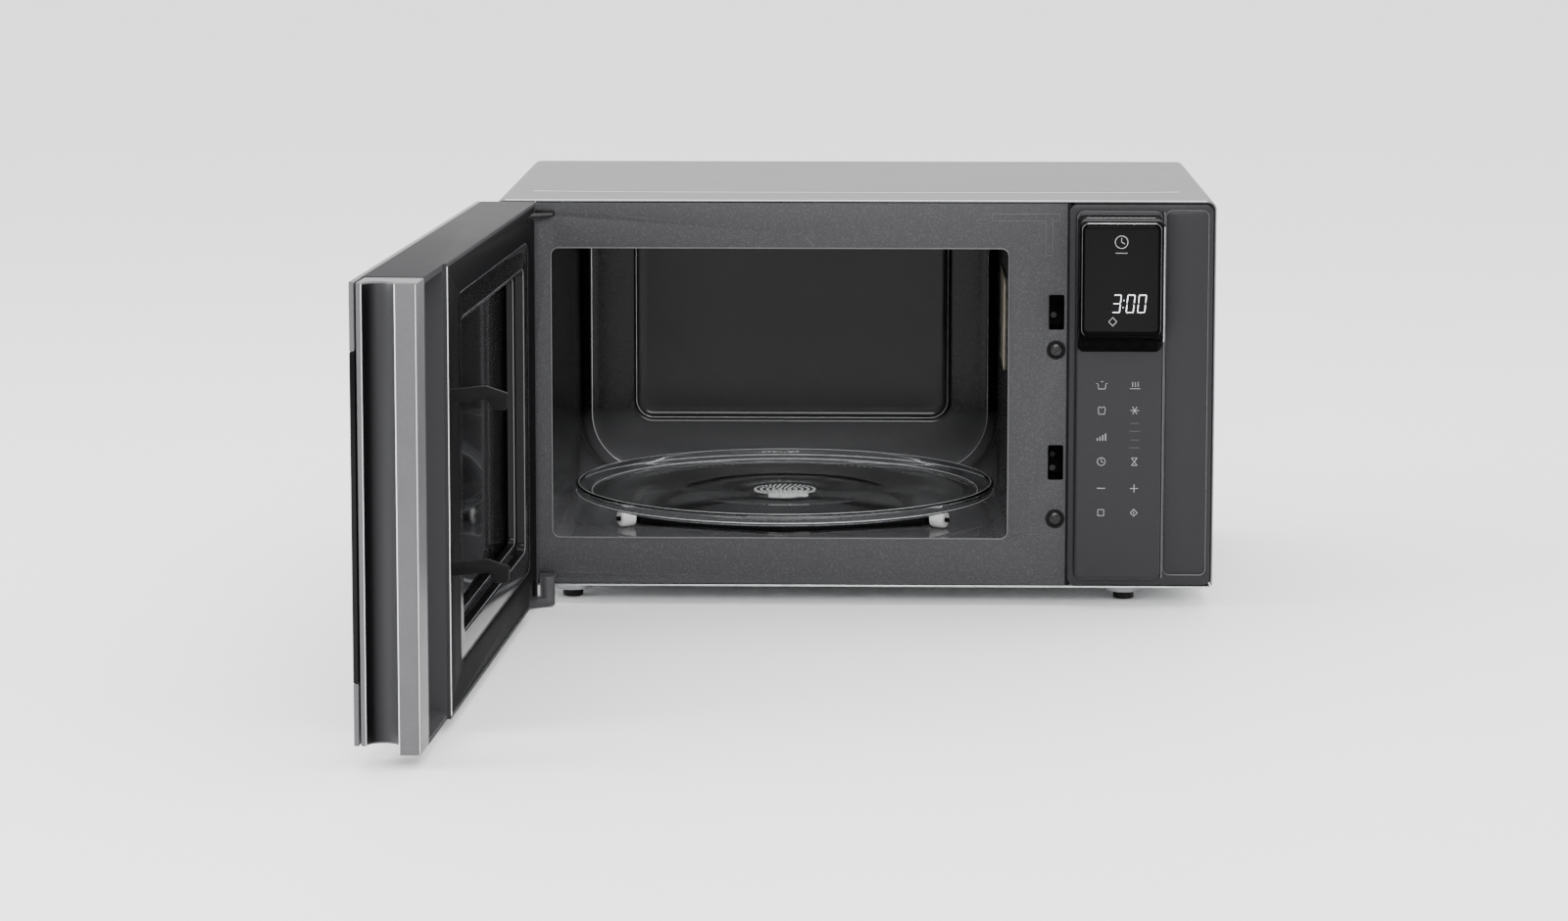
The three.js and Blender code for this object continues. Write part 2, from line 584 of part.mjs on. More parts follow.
function handlePost() {
  const { x0, x1, inner, outer } = POST;
  const mid = (GROOVE.y0 + GROOVE.y1) / 2;
  const half = (GROOVE.y1 - GROOVE.y0) / 2;
  const r = 2.4;
  const plan = new THREE.Shape();
  plan.moveTo(x0, outer);
  plan.lineTo(x1 - 0.8, outer);
  plan.lineTo(x1, outer + 0.8);
  plan.absellipse(x1, mid, GROOVE.depth, half, -Math.PI / 2, -Math.PI * 1.5, true);
  plan.absarc(x1 - r, inner - r, r, 0, Math.PI / 2);
  plan.lineTo(x0, inner);
  const foot = box(x0 - 1, x1 + 1, outer - 1, GROOVE.y1 - 0.2, 0, SKIN_BOTTOM);
  return cut(slabZ(plan, DOOR.z0, DOOR.z1 - 0.4, 8), [foot]);
}

// A flat strip of the outer skin between two heights, open around the control panel
function skinPanel(x0, x1, z0, z1) {
  const sheet = slabY(roundedRect({ x0, x1, z0, z1, r: 0.6 }), DOOR.outer, DOOR.outer + SKIN, 2);
  return cut(sheet, [slabY(roundedRect(SKIN_WINDOW), DOOR.outer - 1, 0)]);
}

function innerPanel() {
  const edge = { x0: DOOR.x0 + 5.9, x1: BOX_END - 2.9, z0: DOOR.z0 + 2.7, z1: DOOR.z1 - 2.7, r: 1 };
  const shape = roundedRect(edge);
  const tools = [slabY(roundedRect(CHOKE), -5, 1), ...bracketPockets()];
  for (const drop of [0, LATCH_PITCH]) tools.push(box(367, 374, -5, 1, 184 - drop, 206.5 - drop));
  return cut(slabY(shape, -3.3, -1.4), tools);
}

function chokeCover() {
  const edge = { x0: CHOKE.x0 + 0.4, x1: CHOKE.x1 - 0.4, z0: CHOKE.z0 + 0.4, z1: CHOKE.z1 - 0.4, r: 9.6 };
  return cut(slabY(roundedRect(edge), -13, -2.2), [slabY(roundedRect(WINDOW), -14, 0)]);
}

function innerWindow() {
  const lap = 6;
  return box(WINDOW.x0 - lap, WINDOW.x1 + lap, -15, -13.4, WINDOW.z0 - lap, WINDOW.z1 + lap);
}

// Outline in Y and Z of the hooks and the bar that joins them
function latchBar() {
  const hook = (drop) => [[-8, 197.5 - drop], [20, 200.5 - drop], [32.5, 196.4 - drop], [32.5, 189 - drop],
    [31, 186.6 - drop], [24, 186.9 - drop], [20.5, 192.9 - drop], [-8, 189.5 - drop]];
  const outline = [[-16, 83], [-16, 206], [-8, 206], ...hook(0), ...hook(LATCH_PITCH), [-8, 83]];
  return slabX(polygon(outline), HOOK_X - HOOK_WIDTH / 2, HOOK_X + HOOK_WIDTH / 2);
}

function latchSpring() {
  return turned(HOOK_X, -12, [[2.4, 206.4], [3.8, 206.4], [3.8, 232], [2.4, 232], [2.4, 206.4]], 16);
}

// ---- Assembly ----

const inCase = new THREE.Group();

add(inCase, 'outer_cover', outerCover(), satinSteel);
add(inCase, 'base_plate', basePlate(), zincSteel);
add(inCase, 'rear_panel', rearPanel(), zincSteel);
add(inCase, 'front_plate', frontPlate(), plateEnamel);
add(inCase, 'cavity_shell', cavityShell(), cavityEnamel);
add(inCase, 'control_panel', controlPanel(), panelPlastic);
add(inCase, 'display_block', displayBlock(), glossBlack);
add(inCase, 'display_board', displayBoard(), boardGreen);
add(inCase, 'control_board', controlBoard(), boardGreen);
for (const [place, [x, y]] of Object.entries(FOOT_PLACES)) {
  add(inCase, `foot_${place}`, foot(x, y), rubber);
}
add(inCase, 'cord_inlet', cordInlet(), rubber);
REAR_SCREW_X.forEach((x, i) => add(inCase, `rear_screw_${i + 1}`, rearScrew(x), zincSteel));
SCREW_Z.forEach((z, i) => add(inCase, `front_screw_${i + 1}`, frontScrew(z), zincSteel));

add(inCase, 'waveguide_cover', box(338.6, 339.3, 78, 162, 148, 212), micaTan);
add(inCase, 'waveguide', waveguide(), zincSteel);
add(inCase, 'magnetron', magnetron(), zincSteel);
add(inCase, 'cavity_lamp', cavityLamp(), clearGlass);
add(inCase, 'inverter_board', inverterBoard(), boardGreen);
add(inCase, 'heat_sink', heatSink(), zincSteel);
add(inCase, 'inverter_transformer', inverterTransformer(), copperBrown);
add(inCase, 'mains_filter_board', mainsFilterBoard(), boardGreen);
add(inCase, 'fan_shroud', fanShroud(), bracketGrey);
add(inCase, 'fan_motor', fanMotor(), zincSteel);
add(inCase, 'fan_blade', fanBlade(), innerBlack);

add(inCase, 'turntable_motor', turntableMotor(), zincSteel);
add(inCase, 'drive_coupler', driveCoupler(), rollerWhite);
add(inCase, 'roller_ring', rollerRing(), panelPlastic);
ROLLER_ANGLES.forEach((turn, i) => add(inCase, `roller_${i + 1}`, roller(turn), rollerWhite));
add(inCase, 'glass_turntable', glassTurntable(), clearGlass);

add(inCase, 'interlock_bracket', interlockBracket(), bracketGrey);
SWITCH_NAMES.forEach((name, i) => {
  add(inCase, `microswitch_${name}`, microswitch(SWITCH_Z[i]), innerBlack);
  add(inCase, `switch_plunger_${name}`, plunger(SWITCH_Z[i]), rollerWhite);
});
add(inCase, 'hinge_bracket_upper', upperHingeBracket(), zincSteel);
add(inCase, 'hinge_bracket_lower', lowerHingeBracket(), bracketGrey);

// The door's own group sits on the hinge axis, and its pieces are moved back by as much
const closedDoor = new THREE.Group();
closedDoor.position.set(-HINGE.x, -HINGE.y, 0);
add(closedDoor, 'door_frame', doorFrame(), framePlastic);
add(closedDoor, 'handle_post', handlePost(), silverPaint);
add(closedDoor, 'outer_trim_top', skinPanel(DOOR.x0, DOOR.x1, TRIM_TOP, CASE_TOP), satinSteel);
add(closedDoor, 'outer_trim_bottom', skinPanel(DOOR.x0, DOOR.x1, SKIN_BOTTOM, TRIM_BOTTOM), satinSteel);
const glassLow = TRIM_BOTTOM + GAP;
const glassHigh = TRIM_TOP - GAP;
add(closedDoor, 'door_glass', skinPanel(DOOR.x0, WING.x0 - 0.5, glassLow, glassHigh), glossBlack);
add(closedDoor, 'post_glass', skinPanel(WING.x1 + 0.5, DOOR.x1, glassLow, glassHigh), glossBlack);
add(closedDoor, 'inner_panel', innerPanel(), innerBlack);
add(closedDoor, 'choke_cover', chokeCover(), glossBlack);
add(closedDoor, 'inner_window', innerWindow(), clearGlass);
add(closedDoor, 'door_screen', box(36, 330, -16.9, -15.6, 33, 247), innerBlack);
add(closedDoor, 'latch_bar', latchBar(), innerBlack);
add(closedDoor, 'latch_spring', latchSpring(), zincSteel);
add(closedDoor, 'hinge_pin_upper', rodZ(HINGE.x, HINGE.y, PIN_RADIUS, 255, 268, 18), zincSteel);
add(closedDoor, 'hinge_pin_lower', rodZ(HINGE.x, HINGE.y, PIN_RADIUS, 1.6, 30, 18), zincSteel);

const door = new THREE.Group();
door.position.set(HINGE.x, HINGE.y, 0);
door.rotation.z = (-DOOR_ANGLE * Math.PI) / 180;
door.add(closedDoor);
inCase.add(door);

// The origin is the middle of the object's footprint, on the surface that it stands on
inCase.updateMatrixWorld(true);
const extent = new THREE.Box3().setFromObject(inCase, true);
const middle = extent.getCenter(new THREE.Vector3());
inCase.position.set(-middle.x, -middle.y, -extent.min.z);

const microwaveOven = new THREE.Group();
microwaveOven.add(inCase);

export default microwaveOven;
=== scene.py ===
"""A countertop microwave oven with its door open, finished around its fixed frame. Lengths are in mm."""
import json
import math

import bmesh
import bpy
from bpy.props import FloatProperty, FloatVectorProperty, PointerProperty
from mathutils import Matrix, Vector


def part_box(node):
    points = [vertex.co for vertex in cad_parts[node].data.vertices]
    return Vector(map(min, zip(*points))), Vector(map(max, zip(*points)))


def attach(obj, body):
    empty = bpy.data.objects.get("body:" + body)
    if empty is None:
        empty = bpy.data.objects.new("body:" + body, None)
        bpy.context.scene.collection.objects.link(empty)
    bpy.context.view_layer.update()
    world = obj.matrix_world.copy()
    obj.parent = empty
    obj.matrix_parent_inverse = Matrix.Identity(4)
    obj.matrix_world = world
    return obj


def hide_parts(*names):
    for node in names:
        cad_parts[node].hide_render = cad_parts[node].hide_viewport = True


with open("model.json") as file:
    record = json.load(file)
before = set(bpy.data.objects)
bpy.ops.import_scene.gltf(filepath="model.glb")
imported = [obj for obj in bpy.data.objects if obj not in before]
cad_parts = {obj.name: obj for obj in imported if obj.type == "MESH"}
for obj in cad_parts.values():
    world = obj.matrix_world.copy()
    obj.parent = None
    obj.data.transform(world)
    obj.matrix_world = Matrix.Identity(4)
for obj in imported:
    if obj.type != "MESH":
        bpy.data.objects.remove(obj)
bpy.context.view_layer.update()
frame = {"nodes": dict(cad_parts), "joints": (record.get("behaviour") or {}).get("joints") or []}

bl_info = {
    "name": "Microwave Oven Finisher",
    "version": (1, 0, 0),
    "blender": (4, 5, 0),
    "location": "View3D > Sidebar > Oven",
    "description": "Builds the fine surfaces and finishes of a countertop microwave oven",
    "category": "Object",
}

# ---------------------------------------------------------------- frame and places

MM = 0.001
CASE_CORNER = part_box("outer_cover")[0]
DOOR_JOINT = next(j for j in frame["joints"] if j["name"] == "door_hinge")
HINGE = Vector(DOOR_JOINT["pos_m"])
DOOR_TURN = math.radians(DOOR_JOINT["range_deg"][1])

# Case coordinates: X from the case's left side, Y into the oven from its front edge, Z up
IN_CASE = Matrix.Translation((CASE_CORNER.x, CASE_CORNER.y, 0)) @ Matrix.Scale(MM, 4)
# The door is drawn closed in case coordinates, and stands open in the frame
IN_DOOR = (
    Matrix.Translation(HINGE) @ Matrix.Rotation(-DOOR_TURN, 4, "Z") @ Matrix.Translation(-HINGE) @ IN_CASE
)


def in_case(point):
    """A place in the frame as case coordinates."""
    return IN_CASE.inverted() @ point


def case_box(node):
    low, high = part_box(node)
    return in_case(low), in_case(high)


COVER = case_box("outer_cover")
PLATE_GLASS = case_box("glass_turntable")
SPIN = (PLATE_GLASS[0] + PLATE_GLASS[1]) / 2
PLATE_RADIUS = (PLATE_GLASS[1].x - PLATE_GLASS[0].x) / 2
CASE_WIDTH = COVER[1].x
CASE_TOP = COVER[1].z
OPENING = (36.4, 339.7, 45.2, 239.7)
DISPLAY = case_box("display_block")
PANEL = case_box("control_panel")
KEYS = (383, 441, 19.2, 265.5)
KEY_FACE = -8.0
COLUMNS = (401.0, 422.8)
LIST_LEVELS = (128.0, 122.8, 116.9, 111.7)
SEGMENTS = {"0": "abcdef", "3": "abcdg"}
PLATE_FACE = 0.6
WINDOW_RISE = 0.12
DIGIT_LEAN = 0.1
COVER_SHEET = 1.2
DOOR_WINDOW = (32.4, 333.6, 30.9, 248.6)
FINGER_GROOVE = (-33.1, -15.1, 8.5)
CAMERA_PLACE = (256.0, -2760.0, 529.4)
CAMERA_TURN = 1.35
FRAME_WIDTH = 36.0
FLOOR_SIZE = 12
FLOOR_LEVEL = -0.0002

# ---------------------------------------------------------------- settings


class OvenFinishes(bpy.types.PropertyGroup):
    """Colours of the finishes that a user would change."""

    cover: FloatVectorProperty(
        name="Cover", description="Silver paint of the outer cover", subtype="COLOR", size=3,
        default=(0.125, 0.125, 0.13), min=0, max=1)
    silver: FloatVectorProperty(
        name="Handle silver", description="Paint of the handle post and trims", subtype="COLOR", size=3,
        default=(0.088, 0.0866, 0.0925), min=0, max=1)
    enamel: FloatVectorProperty(
        name="Front enamel", description="Speckled enamel of the front plate", subtype="COLOR", size=3,
        default=(0.028, 0.028, 0.0302), min=0, max=1)
    cavity: FloatVectorProperty(
        name="Cavity enamel", description="Glossy enamel of the cooking space", subtype="COLOR", size=3,
        default=(0.003, 0.003, 0.0033), min=0, max=1)
    panel: FloatVectorProperty(
        name="Key panel", description="Moulded plastic of the key panel", subtype="COLOR", size=3,
        default=(0.0095, 0.0093, 0.011), min=0, max=1)
    door_frame: FloatVectorProperty(
        name="Door frame", description="Moulded plastic of the door frame", subtype="COLOR", size=3,
        default=(0.026, 0.0258, 0.0275), min=0, max=1)
    digits: FloatVectorProperty(
        name="Digits", description="Light of the display's digits", subtype="COLOR", size=3,
        default=(0.95, 0.97, 1.0), min=0, max=1)


class OvenSizes(bpy.types.PropertyGroup):
    """Fine sizes, in millimetres."""

    crease: FloatProperty(
        name="Crease depth", description="Depth of the long crease in the cover", default=0.9, min=0, max=2)
    label: FloatProperty(
        name="Label line", description="Width of the lines printed on the keys", default=0.34, min=0.2, max=1)


class OvenStage(bpy.types.PropertyGroup):
    """Camera and lights."""

    lens: FloatProperty(
        name="Lens", description="Focal length", default=96.5, min=20, max=300, unit="CAMERA")
    shift: FloatProperty(
        name="Shift", description="Vertical shift of the lens", default=-0.0888, min=-0.2, max=0.2)
    pitch: FloatProperty(
        name="Pitch", description="Angle at which the camera looks down", default=math.radians(6.99),
        min=0, max=1.5, unit="ROTATION")
    surroundings: FloatProperty(
        name="Surroundings", description="Brightness of the pale room", default=2.5, min=0, max=5)
    key_light: FloatProperty(
        name="Key light", description="Power of the soft light above", default=26.0, min=0, unit="POWER")
    left_light: FloatProperty(
        name="Left light", description="Power of the soft light on the left", default=52.0, min=0,
        unit="POWER")
    right_light: FloatProperty(
        name="Right light", description="Power of the soft light on the right", default=14.0, min=0,
        unit="POWER")
    front_light: FloatProperty(
        name="Front light", description="Power of the soft light in front", default=75.0, min=0, unit="POWER")


# ---------------------------------------------------------------- effect groups


def new_group(name, inputs, outputs):
    """A shader node group with named sockets, and its input and output nodes."""
    group = bpy.data.node_groups.new(name, "ShaderNodeTree")
    for label, kind, value in inputs:
        socket = group.interface.new_socket(name=label, in_out="INPUT", socket_type="NodeSocket" + kind)
        socket.default_value = value
    for label, kind in outputs:
        group.interface.new_socket(name=label, in_out="OUTPUT", socket_type="NodeSocket" + kind)
    return group, group.nodes.new("NodeGroupInput"), group.nodes.new("NodeGroupOutput")


def add_node(tree, kind, inputs=None, **settings):
    """A node with its settings, and its inputs set or linked by name or index."""
    node = tree.nodes.new("ShaderNode" + kind)
    for key, value in settings.items():
        setattr(node, key, value)
    for key, value in (inputs or {}).items():
        if isinstance(value, bpy.types.NodeSocket):
            tree.links.new(value, node.inputs[key])
        else:
            node.inputs[key].default_value = value
    return node


def math_node(tree, operation, first, second, third=0.0, clamp=False):
    inputs = {0: first, 1: second, 2: third}
    return add_node(tree, "Math", inputs, operation=operation, use_clamp=clamp).outputs[0]


def mix_colour(tree, factor, first, second):
    return add_node(tree, "Mix", {0: factor, 6: first, 7: second}, data_type="RGBA").outputs[2]


def ramp(tree, value, low, high):
    """Zero below low, one above high."""
    node = add_node(tree, "MapRange", {"Value": value, "From Min": low, "From Max": high})
    return node.outputs["Result"]


def place(tree):
    return add_node(tree, "TexCoord").outputs["Object"]


def noise(tree, where, scale, **more):
    inputs = {"Vector": where, "Scale": scale}
    inputs.update({key.capitalize(): value for key, value in more.items()})
    return add_node(tree, "TexNoise", inputs).outputs[0]


def grain_group():
    """Fine moulded or sprayed texture: a height, and a mask of its grains."""
    tree, given, out = new_group(
        "Grain", [("Scale", "Float", 900.0), ("Softness", "Float", 0.5)],
        [("Height", "Float"), ("Mask", "Float")])
    where = place(tree)
    fine = noise(tree, where, given.outputs["Scale"], detail=3.0, roughness=given.outputs["Softness"])
    height = math_node(tree, "MULTIPLY_ADD", noise(tree, where, 34.0, detail=2.0), 0.15, fine)
    tree.links.new(height, out.inputs["Height"])
    tree.links.new(ramp(tree, fine, 0.42, 0.62), out.inputs["Mask"])
    return tree


def speckle_group():
    """Enamel colour with lighter and darker flecks."""
    tree, given, out = new_group(
        "Speckle",
        [("Colour", "Color", (0.1, 0.1, 0.1, 1)), ("Fleck", "Color", (0.3, 0.3, 0.3, 1)),
         ("Scale", "Float", 1200.0), ("Amount", "Float", 0.5)],
        [("Colour", "Color"), ("Mask", "Float")])
    where = place(tree)
    cells = add_node(tree, "TexVoronoi", {"Vector": where, "Scale": given.outputs["Scale"]})
    spread = noise(tree, where, 60.0, detail=4.0)
    chosen = add_node(tree, "SeparateColor", {0: cells.outputs["Color"]}).outputs[0]
    light = math_node(tree, "MULTIPLY", ramp(tree, chosen, 0.74, 0.98), given.outputs["Amount"])
    dark = math_node(tree, "MULTIPLY", ramp(tree, chosen, 0.26, 0.02), given.outputs["Amount"])
    toned = mix_colour(tree, math_node(tree, "MULTIPLY", spread, 0.06), given.outputs["Colour"], (0, 0, 0, 1))
    lit = mix_colour(tree, light, toned, given.outputs["Fleck"])
    darkened = mix_colour(tree, math_node(tree, "MULTIPLY", dark, 0.55), lit, (0.004, 0.004, 0.005, 1))
    tree.links.new(darkened, out.inputs["Colour"])
    tree.links.new(light, out.inputs["Mask"])
    return tree


def wear_group():
    """Paler, rubbed colour along outside edges."""
    tree, given, out = new_group(
        "Edge wear",
        [("Colour", "Color", (0.5, 0.5, 0.5, 1)), ("Worn", "Color", (0.8, 0.8, 0.8, 1)),
         ("Amount", "Float", 0.3)],
        [("Colour", "Color"), ("Mask", "Float")])
    sharp = add_node(tree, "NewGeometry").outputs["Pointiness"]
    patches = ramp(tree, noise(tree, place(tree), 45.0, detail=6.0), 0.4, 0.7)
    edge = math_node(tree, "MULTIPLY", ramp(tree, sharp, 0.54, 0.62), patches)
    mask = math_node(tree, "MULTIPLY", edge, given.outputs["Amount"], clamp=True)
    colour = mix_colour(tree, mask, given.outputs["Colour"], given.outputs["Worn"])
    tree.links.new(colour, out.inputs["Colour"])
    tree.links.new(mask, out.inputs["Mask"])
    return tree


def dust_group():
    """Thin dust on faces that look up, and a smudged sheen."""
    tree, given, out = new_group(
        "Dust",
        [("Colour", "Color", (0.1, 0.1, 0.1, 1)), ("Roughness", "Float", 0.4),
         ("Dust", "Float", 0.1), ("Smudge", "Float", 0.1)],
        [("Colour", "Color"), ("Roughness", "Float")])
    where = place(tree)
    up = add_node(tree, "SeparateXYZ", {0: add_node(tree, "NewGeometry").outputs["Normal"]}).outputs["Z"]
    specks = ramp(tree, noise(tree, where, 320.0, detail=5.0, roughness=0.7), 0.5, 0.75)
    lying = math_node(tree, "MULTIPLY", ramp(tree, up, 0.35, 0.95), specks)
    dust = math_node(tree, "MULTIPLY", lying, given.outputs["Dust"], clamp=True)
    wiped = ramp(tree, noise(tree, where, 11.0, detail=5.0, distortion=0.8), 0.25, 0.85)
    smudge = math_node(tree, "MULTIPLY", wiped, given.outputs["Smudge"])
    rough = math_node(tree, "ADD", given.outputs["Roughness"], smudge)
    dusty = math_node(tree, "MULTIPLY_ADD", dust, 0.3, rough)
    colour = mix_colour(tree, dust, given.outputs["Colour"], (0.42, 0.41, 0.40, 1))
    tree.links.new(colour, out.inputs["Colour"])
    tree.links.new(dusty, out.inputs["Roughness"])
    return tree


def streak_group():
    """Fine drawn or brushed lines along X."""
    tree, given, out = new_group(
        "Streaks", [("Scale", "Float", 700.0), ("Length", "Float", 0.02)], [("Height", "Float")])
    stretch = add_node(tree, "CombineXYZ", {0: given.outputs["Length"], 1: 1.0, 2: 1.0})
    where = add_node(tree, "VectorMath", {0: place(tree), 1: stretch.outputs[0]}, operation="MULTIPLY")
    lines = noise(tree, where.outputs[0], given.outputs["Scale"], detail=4.0, roughness=0.6)
    tree.links.new(lines, out.inputs["Height"])
    return tree


EFFECTS = {}
EFFECT_MAKERS = {
    "Grain": grain_group, "Speckle": speckle_group, "Edge wear": wear_group, "Dust": dust_group,
    "Streaks": streak_group,
}


def effect(tree, name, inputs):
    """Places a shared effect in a material."""
    if name not in EFFECTS:
        EFFECTS[name] = EFFECT_MAKERS[name]()
    return add_node(tree, "Group", inputs, node_tree=EFFECTS[name]).outputs


# ---------------------------------------------------------------- finishes

